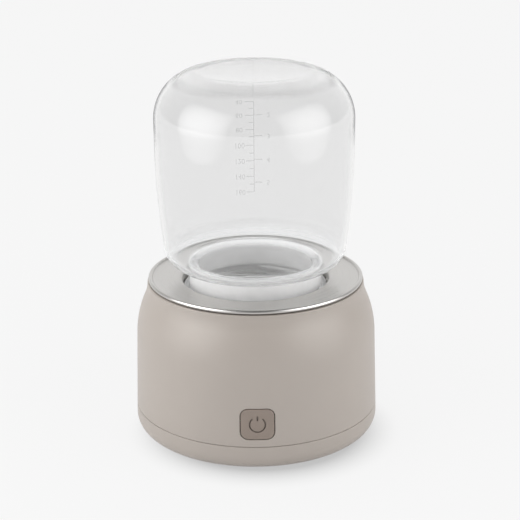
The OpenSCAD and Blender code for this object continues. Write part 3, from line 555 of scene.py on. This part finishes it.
def printed_ink(name, colour):
    """A thin screen print, not quite covering."""
    finish = material(name)
    cover = finish.noise(2600, 3)
    return finish.surface(
        Base_Color=finish.blend(shade(colour, 0.95), shade(colour, 1.05), cover),
        Roughness=0.6 + (cover - 0.5) * 0.1,
        Alpha=0.17 + (cover - 0.5) * 0.1,
    )


GREIGE = tone(166, 158, 151)
BUTTON_GREIGE = tone(135, 123, 114)
FINISHES = {
    "body_plastic": moulded_plastic("body_plastic", GREIGE, 0.4),
    "button_plastic": moulded_plastic("button_plastic", BUTTON_GREIGE, 0.5),
    "symbol_plastic": moulded_plastic("symbol_plastic", tone(112, 102, 94), 0.6),
    "cup_steel": spun_steel("cup_steel", tone(202, 200, 197)),
    "bottle_glass": clear_glass("bottle_glass"),
    "collar_plastic": moulded_plastic("collar_plastic", tone(206, 206, 206), 0.4),
    "pale_silicone": rubber("pale_silicone", tone(236, 236, 236), 0.55),
    "dark_silicone": rubber("dark_silicone", tone(84, 80, 76)),
    "fastener_steel": bright_metal("fastener_steel", tone(188, 186, 182), 0.35),
    "heater_foil": heater_foil("heater_foil"),
    "insulation_felt": felt("insulation_felt", tone(222, 218, 208)),
    "clamp_plate": bright_metal("clamp_plate", tone(176, 176, 178), 0.4),
    "black_plastic": moulded_plastic("black_plastic", tone(40, 40, 42), 0.45),
    "frame_plastic": moulded_plastic("frame_plastic", tone(63, 66, 70), 0.5),
    "circuit_board": circuit_board("circuit_board"),
    "capacitor_sleeve": moulded_plastic("capacitor_sleeve", tone(63, 80, 108), 0.3),
    "plug_plastic": moulded_plastic("plug_plastic", tone(232, 228, 216), 0.45),
    "cell_can": moulded_plastic("cell_can", tone(63, 127, 142), 0.3),
    "nickel_strip": bright_metal("nickel_strip", tone(196, 192, 184), 0.3),
    "pad_foam": felt("pad_foam", tone(70, 70, 72), 900),
    "lead_red": moulded_plastic("lead_red", tone(176, 56, 44), 0.4),
    "inlet_steel": bright_metal("inlet_steel", tone(198, 198, 200), 0.28),
    "fuse_ceramic": moulded_plastic("fuse_ceramic", tone(232, 226, 214), 0.35),
    "led_lens": moulded_plastic("led_lens", tone(236, 240, 230), 0.15),
}
GOLD = bright_metal("contact_gold", tone(226, 186, 104), 0.25)
SCALE_INK = printed_ink("scale_ink", tone(150, 150, 150))


def sealed(shape):
    """Merges a shape's doubles and turns its faces outwards."""
    bmesh.ops.remove_doubles(shape, verts=shape.verts, dist=MERGE_REACH)
    bmesh.ops.recalc_face_normals(shape, faces=shape.faces)
    return shape


def spun(outline, closed=True, steps=ROUND_STEPS):
    """An outline of (radius, height) points, spun around the upright axis."""
    shape = bmesh.new()
    points = [shape.verts.new((radius, 0, height)) for radius, height in outline]
    followers = points[1:] + points[:1] if closed else points[1:]
    edges = [shape.edges.new(pair) for pair in zip(points, followers)]
    bmesh.ops.spin(
        shape,
        geom=points + edges,
        cent=(0, 0, 0),
        axis=(0, 0, 1),
        angle=math.tau,
        steps=steps,
        use_merge=True,
    )
    return sealed(shape)


def rounded_plate(width, height, corner):
    """One upright face in the shape of a rounded rectangle, which looks along -Y."""
    across, up = width / 2 - corner, height / 2 - corner
    centres = ((across, up), (-across, up), (-across, -up), (across, -up))
    rounds = [arc(centre, corner, 90 * i, 90 * (i + 1), CORNER_STEPS) for i, centre in enumerate(centres)]
    outline = []
    for this, following in zip(rounds, rounds[1:] + rounds[:1]):
        outline += this + straight(this[-1], following[0], CORNER_STEPS)[1:-1]
    plate = bmesh.new()
    points = [plate.verts.new((side, 0, rise)) for side, rise in outline]
    return plate, plate.faces.new(points)


def pulled(shape, face, distance):
    """Draws a face out along -Y and gives the face at the new end."""
    grown = bmesh.ops.extrude_face_region(shape, geom=[face])["geom"]
    moved = [item for item in grown if isinstance(item, bmesh.types.BMVert)]
    bmesh.ops.translate(shape, vec=(0, -distance, 0), verts=moved)
    return next(item for item in grown if isinstance(item, bmesh.types.BMFace))


def rounded_over(shape, face, radius, steps=5, flare=False):
    """Draws a face in and forward along a quarter round, bulging out, or hollow for a flare."""
    for i in range(steps):
        first, last = 90 * i / steps, 90 * (i + 1) / steps
        shrink = radius * (cosine(first) - cosine(last))
        forward = radius * (sine(last) - sine(first))
        if flare:
            shrink, forward = forward, shrink
        bmesh.ops.inset_region(shape, faces=[face], thickness=shrink, depth=forward, use_even_offset=True)


def ringed(shape, face, rings):
    """Divides a face into rings around its middle."""
    for i in range(rings):
        inner = (rings - i) / (rings - i + 1)
        bmesh.ops.inset_region(shape, faces=[face], thickness=0, depth=0)
        bmesh.ops.scale(shape, vec=(inner, 1, inner), verts=face.verts)
    bmesh.ops.poke(shape, faces=[face])


def set_in_side(shape, height, side):
    """Bends a flat-fronted shape to the body's side; its Y becomes the depth below the surface."""
    for vert in shape.verts:
        vert.co.z += height
        reach = math.sqrt(side_r(vert.co.z) ** 2 - vert.co.x ** 2)
        vert.co.y = side * (reach - vert.co.y)
    return sealed(shape)


def loose(shape):
    """A shape as an object of its own, for cutting."""
    mesh = bpy.data.meshes.new("loose")
    shape.to_mesh(mesh)
    shape.free()
    made = bpy.data.objects.new("loose", mesh)
    bpy.context.scene.collection.objects.link(made)
    return made


def carved(shape, *cutters):
    """A shape with other shapes cut out of it."""
    whole = loose(shape)
    tools = [loose(cutter) for cutter in cutters]
    for tool in tools:
        cut = whole.modifiers.new("cut", "BOOLEAN")
        cut.operation = "DIFFERENCE"
        cut.solver = "EXACT"
        cut.object = tool
    result = bmesh.new()
    result.from_object(whole, bpy.context.evaluated_depsgraph_get())
    for spent in [whole] + tools:
        bpy.data.objects.remove(spent)
    return result


def joined(shapes):
    """Several shapes as one."""
    whole = bmesh.new()
    for shape in shapes:
        mesh = bpy.data.meshes.new("joined")
        shape.to_mesh(mesh)
        shape.free()
        whole.from_mesh(mesh)
        bpy.data.meshes.remove(mesh)
    return whole


def piece(name, shape, finish, body, stands_for=(), crease=40):
    """Makes a shape an object in metres that moves with a body."""
    bmesh.ops.scale(shape, vec=(MM, MM, MM), verts=shape.verts)
    mesh = bpy.data.meshes.new(name)
    shape.to_mesh(mesh)
    shape.free()
    mesh.shade_smooth()
    mesh.set_sharp_from_angle(angle=math.radians(crease))
    mesh.materials.append(finish)
    made = bpy.data.objects.new(name, mesh)
    bpy.context.scene.collection.objects.link(made)
    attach(made, body)
    if stands_for:
        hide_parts(*stands_for)
    return made


def dressed(name, shape, slot, body, *nodes, crease=40):
    """A piece in a slot's own finish that stands for CAD nodes."""
    return piece(name, shape, FINISHES[slot], body, nodes, crease)


def thread_lift(angle, height, first_turn):
    """How far the thread stands up at a point of the neck, from 0 to 1."""
    best = 0
    for start in THREAD_STARTS:
        turned = (angle - start - first_turn) % 360
        if turned > THREAD_SWEEP:
            continue
        middle = THREAD_Z + THREAD_LEAD * turned / 360
        flank = (THREAD_ROOT_HALF - abs(height - middle)) / (THREAD_ROOT_HALF - THREAD_CREST_HALF)
        fade = min(turned, THREAD_SWEEP - turned) / THREAD_FADE
        lift = min(max(flank, 0), 1) * min(fade, 1)
        best = max(best, lift * lift * (3 - 2 * lift))
    return best


def threaded(shape, wall_r, height, first_turn=0):
    """Raises the screw thread on a wall of a given radius; a negative height stands inwards."""
    for vert in shape.verts:
        radius = math.hypot(vert.co.x, vert.co.y)
        if abs(radius - wall_r) > ON_WALL:
            continue
        angle = math.degrees(math.atan2(vert.co.y, vert.co.x))
        grown = (wall_r + height * thread_lift(angle, vert.co.z, first_turn)) / wall_r
        vert.co.x *= grown
        vert.co.y *= grown
    return shape


def body_shell():
    top_r = HOLLOW_C[0] - HOLLOW_R
    outline = [(side_r(SHELL_Z) - SHELL_WALL, SHELL_Z)]
    outline += arc((side_r(SHELL_Z) - SEAM_EDGE_R, SHELL_Z + SEAM_EDGE_R), SEAM_EDGE_R, -90, 0, 5)
    side_low, side_high = SHELL_Z + 2 * SEAM_EDGE_R, SHOULDER_Z - SHOULDER_LEAD
    outline += straight((side_r(side_low), side_low), (side_r(side_high), side_high), 12)
    outline += arc(SHOULDER_C, SHOULDER_R, SIDE_DRAFT, SHOULDER_TURN, 16)
    outline += arc(HOLLOW_C, HOLLOW_R, 180 + SHOULDER_TURN, 180 + HOLLOW_END, 16)[1:]
    outline += arc((top_r - TOP_EDGE_R, BODY_TOP - TOP_EDGE_R), TOP_EDGE_R, 0, 90, 6)
    outline += [(PLATE_HOLE_R, BODY_TOP), (PLATE_HOLE_R, BODY_TOP - TOP_PLATE)]
    outline += [(top_r - SHELL_WALL, BODY_TOP - TOP_PLATE)]
    outline += arc(SHOULDER_C, SHOULDER_R - SHELL_WALL, SHOULDER_TURN, SIDE_DRAFT, 8)
    return carved(
        spun(outline),
        opening(BUTTON_W, BUTTON_H, BUTTON_CORNER, BUTTON_GAP, CAP_MID_Z, -1),
        opening(INLET_W, INLET_H, INLET_CORNER, INLET_GAP, INLET_Z, 1),
    )


def opening(width, height, corner, gap, at_height, side):
    """A cutter for a hole with a gap around what sits in it, whose outer edge is rounded."""
    grown = gap + HOLE_EDGE_R
    cutter, face = rounded_plate(width + 2 * grown, height + 2 * grown, corner + grown)
    face = pulled(cutter, face, HOLE_DEPTH)
    rounded_over(cutter, face, HOLE_EDGE_R, 4, flare=True)
    bmesh.ops.inset_region(cutter, faces=[face], thickness=0, depth=HOLE_DEPTH)
    for vert in cutter.verts:
        vert.co.y = -vert.co.y - HOLE_DEPTH
    return set_in_side(cutter, at_height, side)


def base_cover():
    edge_z = COVER_LOW + BASE_EDGE_R
    edge_r = side_r(edge_z + BASE_EDGE_R * sine(SIDE_DRAFT)) - BASE_EDGE_R * cosine(SIDE_DRAFT)
    groove_in, groove_out = FOOT_HIGH.x - FOOT_W - FOOT_FIT, FOOT_HIGH.x + FOOT_FIT
    outline = [(0, COVER_LOW), (groove_in, COVER_LOW), (groove_in, FOOT_HIGH.z)]
    outline += [(groove_out, FOOT_HIGH.z), (groove_out, COVER_LOW)]
    outline += arc((edge_r, edge_z), BASE_EDGE_R, -90, SIDE_DRAFT, 14)
    outline += arc((side_r(COVER_TOP) - SEAM_EDGE_R, COVER_TOP - SEAM_EDGE_R), SEAM_EDGE_R, 0, 90, 5)
    outline += [(side_r(COVER_TOP) - SHELL_WALL, COVER_TOP)]
    outline += arc((edge_r, edge_z), BASE_EDGE_R - SHELL_WALL, 0, -90, 8)
    outline += [(0, COVER_LOW + SHELL_WALL)]
    return spun(outline, closed=False)


def ring_band(inner, outer, low, high, edge):
    """A flat ring with rounded edges."""
    outline = arc((outer - edge, low + edge), edge, -90, 0, 5)
    outline += arc((outer - edge, high - edge), edge, 0, 90, 5)
    outline += arc((inner + edge, high - edge), edge, 90, 180, 5)
    outline += arc((inner + edge, low + edge), edge, 180, 270, 5)
    return spun(outline)


def button_cap():
    cap, face = rounded_plate(BUTTON_W, BUTTON_H, BUTTON_CORNER)
    face = pulled(cap, face, BUTTON_DEPTH + BUTTON_PROUD - BUTTON_EDGE_R)
    rounded_over(cap, face, BUTTON_EDGE_R)
    ringed(cap, face, 8)
    bmesh.ops.translate(cap, vec=(0, BUTTON_DEPTH, 0), verts=cap.verts)
    set_in_side(cap, CAP_MID_Z, -1)
    return carved(cap, power_symbol(ICON_LINE / 2, -BUTTON_PROUD - CUT_SPARE, ICON_SINK + ICON_T))


def power_symbol(half_line, front, back):
    """An open ring and a bar in its opening, between two depths."""
    sign = bmesh.new()
    start = 90 + ICON_OPENING / 2
    profile = [(-half_line, front), (half_line, front), (half_line, back), (-half_line, back)]
    points = [
        sign.verts.new(((ICON_R + out) * cosine(start), depth, (ICON_R + out) * sine(start)))
        for out, depth in profile
    ]
    edges = [sign.edges.new(pair) for pair in zip(points, points[1:] + points[:1])]
    bmesh.ops.spin(
        sign,
        geom=points + edges,
        cent=(0, 0, 0),
        axis=(0, -1, 0),
        angle=math.radians(360 - ICON_OPENING),
        steps=48,
        use_merge=False,
    )
    bmesh.ops.holes_fill(sign, edges=sign.edges)
    bar = bmesh.ops.create_cube(sign, size=1)["verts"]
    bmesh.ops.scale(sign, vec=(2 * half_line, back - front, ICON_BAR_HIGH - ICON_BAR_LOW), verts=bar)
    bmesh.ops.translate(sign, vec=(0, (front + back) / 2, (ICON_BAR_HIGH + ICON_BAR_LOW) / 2), verts=bar)
    return set_in_side(sign, CAP_MID_Z, -1)


def heating_cup():
    bead_c = (RIM_R - BEAD_R, FLANGE_TOP)
    reach = BEAD_R + BEAD_FILLET
    lean = math.degrees(math.asin(BEAD_FILLET / reach))
    fillet_c = (bead_c[0] - reach * cosine(lean), FLANGE_TOP + BEAD_FILLET)
    under = 180 + math.degrees(math.asin(SHEET / BEAD_R))
    well_c = (WELL_R + BEND_R, FLANGE_TOP - BEND_R)
    lip_c = (CHAMBER_R + SEAT_BEND_R + SHEET, SEAT_Z - SEAT_BEND_R - SHEET)
    seat_c = (WELL_R - SEAT_BEND_R, SEAT_Z + SEAT_BEND_R)
    floor_c = (CHAMBER_R - CHAMBER_BEND_R, CHAMBER_Z + CHAMBER_BEND_R)
    outline = [(0, CHAMBER_Z)]
    outline += arc(floor_c, CHAMBER_BEND_R, -90, 0, 8)
    outline += arc(lip_c, SEAT_BEND_R + SHEET, 180, 90, 8)
    outline += arc(seat_c, SEAT_BEND_R, -90, 0, 8)
    outline += arc(well_c, BEND_R, 180, 90, 10)
    outline += straight((WELL_R + BEND_R, FLANGE_TOP), (fillet_c[0], FLANGE_TOP), 6)[1:-1]
    outline += arc(fillet_c, BEAD_FILLET, -90, -lean, 5)
    outline += arc(bead_c, BEAD_R, 180 - lean, under - 360, 24)[1:]
    outline += arc(well_c, BEND_R - SHEET, 90, 180, 8)
    outline += arc(seat_c, SEAT_BEND_R + SHEET, 0, -90, 8)
    outline += arc(lip_c, SEAT_BEND_R, 90, 180, 8)
    outline += arc(floor_c, CHAMBER_BEND_R + SHEET, 0, -90, 8)
    outline += [(0, CHAMBER_Z - SHEET)]
    low, high = seat_c[1] + KEY_R, well_c[1] - KEY_R
    return joined([spun(outline, closed=False)] + [key_bead(angle, low, high) for angle in KEY_ANGLES])


def key_bead(angle, low, high):
    """A round-ended bead that stands out of the well's wall."""
    outline = arc((0, low), KEY_R, -90, 0, 5) + arc((0, high), KEY_R, 0, 90, 5)
    bead = spun(outline, closed=False, steps=20)
    spot = Matrix.Rotation(math.radians(angle), 4, "Z") @ Matrix.Translation((WELL_R, 0, 0))
    bmesh.ops.transform(bead, matrix=spot, verts=bead.verts)
    return bead


def thread_collar():
    edge_c = (COLLAR_HIGH.x - COLLAR_EDGE_R, COLLAR_HIGH.z - COLLAR_EDGE_R)
    outline = [(LEDGE_R, SEAT_Z), (COLLAR_SEAL_IN, SEAT_Z), (COLLAR_SEAL_IN, COLLAR_SEAL_HIGH.z)]
    outline += [(COLLAR_SEAL_HIGH.x, COLLAR_SEAL_HIGH.z), (COLLAR_SEAL_HIGH.x, SEAT_Z)]
    outline += [(COLLAR_HIGH.x - COLLAR_CHAMFER, SEAT_Z), (COLLAR_HIGH.x, SEAT_Z + COLLAR_CHAMFER)]
    outline += arc(edge_c, COLLAR_EDGE_R, 0, 90, 4)
    outline += [(COLLAR_ROOT_R + COLLAR_LEAD_IN, COLLAR_HIGH.z)]
    low, high = NECK_SEAL_LOW.z, COLLAR_HIGH.z - COLLAR_LEAD_IN
    outline += straight((COLLAR_ROOT_R, high), (COLLAR_ROOT_R, low), 34)
    outline += [(LEDGE_R, low)]
    return threaded(spun(outline), COLLAR_ROOT_R, -THREAD_H, COLLAR_THREAD_TURN)


def bottle_base(wall_r, ridge_r):
    """The heel, the ridge that an upright bottle stands on, and the dish inside it."""
    ridge_c = polar(HEEL_C, wall_r - ridge_r, RIDGE_TURN)
    reach = ridge_c[0] / sine(DISH_SLOPE)
    dish_c = (0, ridge_c[1] + reach * cosine(DISH_SLOPE))
    points = arc(HEEL_C, wall_r, 0, RIDGE_TURN, 28)
    points += arc(ridge_c, ridge_r, RIDGE_TURN, 90 + DISH_SLOPE, 8)[1:]
    return points + arc(dish_c, reach - ridge_r, DISH_SLOPE - 90, -90, 16)[1:]


def bottle():
    inner_r = NECK_R - NECK_WALL
    lip_r = NECK_WALL / 2
    lip_c = (NECK_R - lip_r, RIM_Z + lip_r)
    thread_top = THREAD_Z + THREAD_LEAD / 2 + 2 * THREAD_ROOT_HALF
    throat_c = (inner_r + THROAT_R, SHOULDER_LOW + BOTTLE_WALL - THROAT_R)
    outline = bottle_base(HEEL_R - BOTTLE_WALL, RIDGE_INNER_R)[::-1]
    outline += straight((BOTTLE_R - BOTTLE_WALL, HEEL_C[1]), (BOTTLE_R - BOTTLE_WALL, BELLY_Z), 4)[1:-1]
    outline += arc(BARREL_C, BARREL_R - BOTTLE_WALL, 0, -BARREL_LEAN, 24)
    outline += arc(BOTTLE_SHOULDER_C, BOTTLE_SHOULDER_R - BOTTLE_WALL, -BARREL_LEAN, -90, 14)[1:]
    outline += arc(throat_c, THROAT_R, 90, 180, 10)
    outline += straight((inner_r, throat_c[1]), (inner_r, lip_c[1]), 16)[1:]
    outline += arc(lip_c, lip_r, 180, 360, 16)[1:]
    outline += straight((NECK_R, lip_c[1]), (NECK_R, thread_top), 40)[1:]
    outline += straight((NECK_R, thread_top), (NECK_R, NECK_FILLET_C[1]), 4)[1:-1]
    outline += arc(NECK_FILLET_C, NECK_FILLET_R, 180, 90, 8)
    outline += arc(BOTTLE_SHOULDER_C, BOTTLE_SHOULDER_R, -90, -BARREL_LEAN, 16)
    outline += arc(BARREL_C, BARREL_R, -BARREL_LEAN, 0, 24)[1:]
    outline += straight((BOTTLE_R, BELLY_Z), (BOTTLE_R, HEEL_C[1]), 4)[1:-1]
    outline += bottle_base(HEEL_R, RIDGE_R)
    return threaded(spun(outline, closed=False), NECK_R, THREAD_H)


def neck_sleeve():
    """A ring around the neck whose top fits into the fillet under the shoulder."""
    top_r = NECK_FILLET_R - SLEEVE_FIT
    turn = math.degrees(math.acos((SLEEVE_HIGH.x - NECK_FILLET_C[0]) / top_r))
    edge_c = (SLEEVE_HIGH.x - SLEEVE_EDGE_R, SLEEVE_LOW.z + SLEEVE_EDGE_R)
    outline = [(NECK_R + SLEEVE_FIT, SLEEVE_LOW.z)]
    outline += arc(edge_c, SLEEVE_EDGE_R, -90, 0, 5)
    outline += arc(NECK_FILLET_C, top_r, turn, 180, 10)
    return spun(outline)


def inlet_shell():
    shell, face = rounded_plate(INLET_W, INLET_H, INLET_CORNER)
    length = INLET_HIGH.y - INLET_LOW.y
    face = pulled(shell, face, length - INLET_WALL / 4)
    rounded_over(shell, face, INLET_WALL / 4, 3)
    bmesh.ops.inset_region(shell, faces=[face], thickness=INLET_WALL / 2, depth=0, use_even_offset=True)
    bmesh.ops.inset_region(shell, faces=[face], thickness=0, depth=2 * INLET_WALL - length)
    spot = Matrix.Translation((0, INLET_LOW.y, INLET_Z)) @ Matrix.Rotation(math.pi, 4, "Z")
    bmesh.ops.transform(shell, matrix=spot, verts=shell.verts)
    return sealed(shell)


def block(low, high, edge):
    """A box between two corners with rounded edges."""
    shape = bmesh.new()
    bmesh.ops.create_cube(shape, size=1)
    bmesh.ops.scale(shape, vec=high - low, verts=shape.verts)
    bmesh.ops.translate(shape, vec=(high + low) / 2, verts=shape.verts)
    bmesh.ops.bevel(
        shape, geom=shape.edges[:], offset=edge, segments=3, profile=0.5, affect="EDGES", material=-1
    )
    return shape


def inlet_contacts():
    """Two rows of gold fingers on the tongue."""
    fingers = []
    for side in (TONGUE_LOW.z, TONGUE_HIGH.z):
        for i in range(FINGERS):
            middle = (i - (FINGERS - 1) / 2) * FINGER_PITCH
            low = Vector((middle - FINGER_W / 2, TONGUE_HIGH.y - FINGER_BACK, side - FINGER_PROUD))
            high = Vector((middle + FINGER_W / 2, TONGUE_HIGH.y - FINGER_FRONT, side + FINGER_PROUD))
            fingers.append(block(low, high, FINGER_EDGE_R))
    return joined(fingers)


def number(words, across, height):
    """Plain figures, drawn flat around a place on the scale."""
    letters = bpy.data.curves.new("number", "FONT")
    letters.body = words
    letters.size = NUMBER_SIZE
    letters.align_x = "CENTER"
    letters.align_y = "CENTER"
    letters.resolution_u = 3
    holder = bpy.data.objects.new("number", letters)
    mesh = bpy.data.meshes.new_from_object(holder)
    shape = bmesh.new()
    shape.from_mesh(mesh)
    bpy.data.objects.remove(holder)
    bpy.data.meshes.remove(mesh)
    bmesh.ops.rotate(shape, cent=(0, 0, 0), matrix=Matrix.Rotation(math.pi, 3, "X"), verts=shape.verts)
    bmesh.ops.translate(shape, vec=(across, height, 0), verts=shape.verts)
    return shape


def stroke(left, right, low, high, steps_across=1, steps_up=1):
    """A flat bar of the scale."""
    shape = bmesh.new()
    bmesh.ops.create_grid(shape, x_segments=steps_across, y_segments=steps_up, size=0.5)
    bmesh.ops.scale(shape, vec=(right - left, high - low, 1), verts=shape.verts)
    bmesh.ops.translate(shape, vec=((left + right) / 2, (low + high) / 2, 0), verts=shape.verts)
    return shape


def printed_scale():
    """Graduations for an upright bottle: a line with ticks and figures, on the far side of the glass."""
    half = SCALE_LINE_W / 2
    last_z = SCALE_FIRST_Z - SCALE_STEP * (len(SCALE_ML) - 1)
    marks = [stroke(-half, half, last_z, SCALE_FIRST_Z, 1, 14)]
    for i, amount in enumerate(SCALE_ML):
        height = SCALE_FIRST_Z - SCALE_STEP * i
        marks.append(stroke(-TICK_LONG, -half, height - half, height + half, 3))
        marks.append(number(str(amount), -NUMBER_SHIFT, height))
        if amount != SCALE_ML[-1]:
            middle = height - SCALE_STEP / 2
            marks.append(stroke(-TICK_SHORT, -half, middle - half, middle + half, 2))
    for i, amount in enumerate(SCALE_OUNCES):
        height = SCALE_OUNCE_Z - SCALE_OUNCE_STEP * i
        marks.append(stroke(half, TICK_LONG, height - half, height + half, 3))
        marks.append(number(str(amount), NUMBER_SHIFT, height))
    ink = joined(marks)
    bmesh.ops.solidify(ink, geom=ink.faces[:], thickness=INK_T)
    bmesh.ops.recalc_face_normals(ink, faces=ink.faces)
    lowest = min(vert.co.z for vert in ink.verts)
    for vert in ink.verts:
        reach = barrel_r(vert.co.y) + vert.co.z - lowest + INK_T / 4
        turn = vert.co.x / BOTTLE_R
        vert.co = (reach * math.sin(turn), reach * math.cos(turn), vert.co.y)
    bmesh.ops.recalc_face_normals(ink, faces=ink.faces)
    return ink


def lamp(name, place, aim, size, watts, lights=True, mirrored=True):
    """A soft box, dimmer towards its edges, that lights things, is mirrored in them, or both."""
    light = bpy.data.lights.new(name, "AREA")
    light.shape = "RECTANGLE"
    light.size, light.size_y = size
    light.energy = watts
    glow = Finish(light)
    across, up, _ = glow.split(glow.node("ShaderNodeNewGeometry", output="Parametric"))
    fall = (16 * across * (1 - across) * up * (1 - up)) ** LAMP_FALL
    shine = glow.node("ShaderNodeEmission", None, {"Strength": fall})
    glow.node("ShaderNodeOutputLight", None, {0: shine})
    made = bpy.data.objects.new(name, light)
    made.location = place
    made.rotation_mode = "QUATERNION"
    made.rotation_quaternion = (Vector(aim) - Vector(place)).to_track_quat("-Z", "Y")
    made.visible_camera = False
    made.visible_transmission = False
    made.visible_diffuse = lights
    made.visible_glossy = mirrored
    bpy.context.scene.collection.objects.link(made)


def seen(finish):
    """1 for rays that come straight from the camera or by way of metal or glass."""
    names = ("Is Camera Ray", "Is Glossy Ray", "Is Transmission Ray")
    straight_on, mirrored, through = [finish.node("ShaderNodeLightPath", output=name) for name in names]
    return finish.clamped(straight_on + mirrored + through)


PALE = tone(PALE_LEVEL, PALE_LEVEL, PALE_LEVEL)


def studio_floor():
    """A pale floor that shows the object's shadow and a painted shadow, a darker spot under it."""
    shape = bmesh.new()
    bmesh.ops.create_grid(shape, x_segments=1, y_segments=1, size=FLOOR_HALF)
    mesh = bpy.data.meshes.new("studio_floor")
    shape.to_mesh(mesh)
    shape.free()
    finish = material("studio_floor")
    lit = finish.node("ShaderNodeBsdfDiffuse", None, {"Color": (FLOOR_LIT, FLOOR_LIT, FLOOR_LIT, 1)})
    reach = finish.node("ShaderNodeVectorMath", {"operation": "LENGTH"}, {0: finish.place()}, "Value")
    level = FLOOR_GLOW - FLOOR_DIP * math.e ** (reach * -FLOOR_FADE)
    # Painted shadow: the glow fades down close to the object
    spot = {0: finish.place(), 1: PAINTED_SHADOW_PLACE}
    apart = finish.node("ShaderNodeVectorMath", {"operation": "DISTANCE"}, spot, "Value")
    under = 1 - finish.ramp(apart, (PAINTED_SHADOW_R, PAINTED_SHADOW_R + PAINTED_SHADOW_FADE))
    glow = finish.node("ShaderNodeEmission", None, {"Strength": level * (1 - under ** 2 * PAINTED_SHADOW_DIM)})
    shown = finish.node("ShaderNodeAddShader", None, {0: lit, 1: glow})
    plain = finish.node("ShaderNodeBsdfDiffuse", None, {"Color": PALE})
    mesh.materials.append(finish.ended(finish.mixed(plain, shown, seen(finish))))
    floor = bpy.data.objects.new("studio_floor", mesh)
    bpy.context.scene.collection.objects.link(floor)


def studio_air():
    """A dome of soft light that the camera, metal and glass see as a pale room."""
    world = bpy.data.worlds.new("studio_air")
    bpy.context.scene.world = world
    finish = Finish(world)
    _, back, up = finish.split(finish.node("ShaderNodeTexCoord", output="Generated"))
    camera = finish.node("ShaderNodeLightPath", output="Is Camera Ray")
    room = finish.ramp(back, ROOM_RISE) * ROOM_BACK + ROOM_DIM
    shown = camera * PALE[0] + (1 - camera) * room
    mask = seen(finish)
    dome = up * DOME_RISE + back * DOME_BACK + DOME_LOW
    level = mask * shown + (1 - mask) * dome
    air = finish.node("ShaderNodeBackground", None, {"Color": (1, 1, 1, 1), "Strength": level})
    finish.node("ShaderNodeOutputWorld", None, {"Surface": air})


def studio_camera():
    data = bpy.data.cameras.new("camera")
    data.lens = CAMERA_LENS
    data.sensor_width = CAMERA_SENSOR
    camera = bpy.data.objects.new("camera", data)
    turn = Matrix.Rotation(math.radians(CAMERA_TURN), 3, "Z")
    tilt = Matrix.Rotation(math.radians(90 - CAMERA_DOWN), 3, "X")
    roll = Matrix.Rotation(math.radians(CAMERA_ROLL), 3, "Z")
    camera.location = turn @ Vector(CAMERA_PLACE)
    camera.rotation_euler = (turn @ tilt @ roll).to_euler()
    bpy.context.scene.collection.objects.link(camera)
    bpy.context.scene.camera = camera


studio_camera()

dressed("body_shell_skin", body_shell(), "body_plastic", "warmer", "body_shell", crease=30)
dressed("base_cover_skin", base_cover(), "body_plastic", "warmer", "base_cover", crease=30)
foot = ring_band(FOOT_HIGH.x - FOOT_W, FOOT_HIGH.x, FOOT_LOW.z, FOOT_HIGH.z, FOOT_EDGE_R)
dressed("foot_ring_rubber", foot, "dark_silicone", "warmer", "foot_ring")
dressed("heating_cup_steel", heating_cup(), "cup_steel", "warmer", "heating_cup")
dressed("button_face", button_cap(), "button_plastic", "button", "button_cap", crease=30)
sign = power_symbol(ICON_LINE / 2 - ICON_FIT, ICON_SINK, ICON_SINK + ICON_T)
dressed("button_sign", sign, "symbol_plastic", "button", "button_icon")
dressed("charging_inlet", inlet_shell(), "inlet_steel", "warmer", "usb_shell", crease=30)
tongue = block(TONGUE_LOW, TONGUE_HIGH, TONGUE_EDGE_R)
dressed("inlet_tongue", tongue, "black_plastic", "warmer", "usb_tongue")
piece("inlet_contacts", inlet_contacts(), GOLD, "warmer")
dressed("collar_threaded", thread_collar(), "collar_plastic", "collar", "thread_collar")
seal = ring_band(COLLAR_SEAL_IN, COLLAR_SEAL_HIGH.x, COLLAR_SEAL_LOW.z, COLLAR_SEAL_HIGH.z, SEAL_EDGE_R)
dressed("collar_seal_ring", seal, "pale_silicone", "collar", "collar_seal")
washer = ring_band(LEDGE_R, NECK_SEAL_HIGH.x, NECK_SEAL_LOW.z, NECK_SEAL_HIGH.z, SEAL_EDGE_R)
dressed("neck_seal_ring", washer, "pale_silicone", "seal", "neck_seal")
glass = dressed("bottle_glass", bottle(), "bottle_glass", "bottle", "bottle", crease=60)
# Soft light goes straight through the glass, so that it doesn't darken what it covers
glass.visible_diffuse = False
glass.visible_shadow = False
dressed("neck_sleeve_ring", neck_sleeve(), "pale_silicone", "bottle", "neck_sleeve")
piece("bottle_scale", printed_scale(), SCALE_INK, "bottle")

for part in frame["record"]["subparts"]:
    for place in frame["nodes"][part["node"]].material_slots:
        place.material = FINISHES[part["material_slot"]]

lamp("left_card", (-0.30, -0.16, 0.2), CARD_AIM, CARD_SIZE, 2)
lamp("right_card", (0.30, -0.16, 0.2), CARD_AIM, CARD_SIZE, 1.7)
lamp("left_glint", (-0.31, -0.165, 0.203), CARD_AIM, CARD_SIZE, 1.6, lights=False)
lamp("right_glint", (0.31, -0.165, 0.203), CARD_AIM, CARD_SIZE, 1.4, lights=False)
lamp("top_box", (-0.1, 0.15, 0.95), (0, 0, 0.05), (0.8, 0.8), 6, mirrored=False)
studio_floor()
studio_air()

bpy.context.scene.view_settings.view_transform = "Standard"
bpy.context.scene.cycles.max_bounces = GLASS_BOUNCES
bpy.context.scene.cycles.glossy_bounces = GLASS_BOUNCES
bpy.context.scene.cycles.transmission_bounces = GLASS_BOUNCES
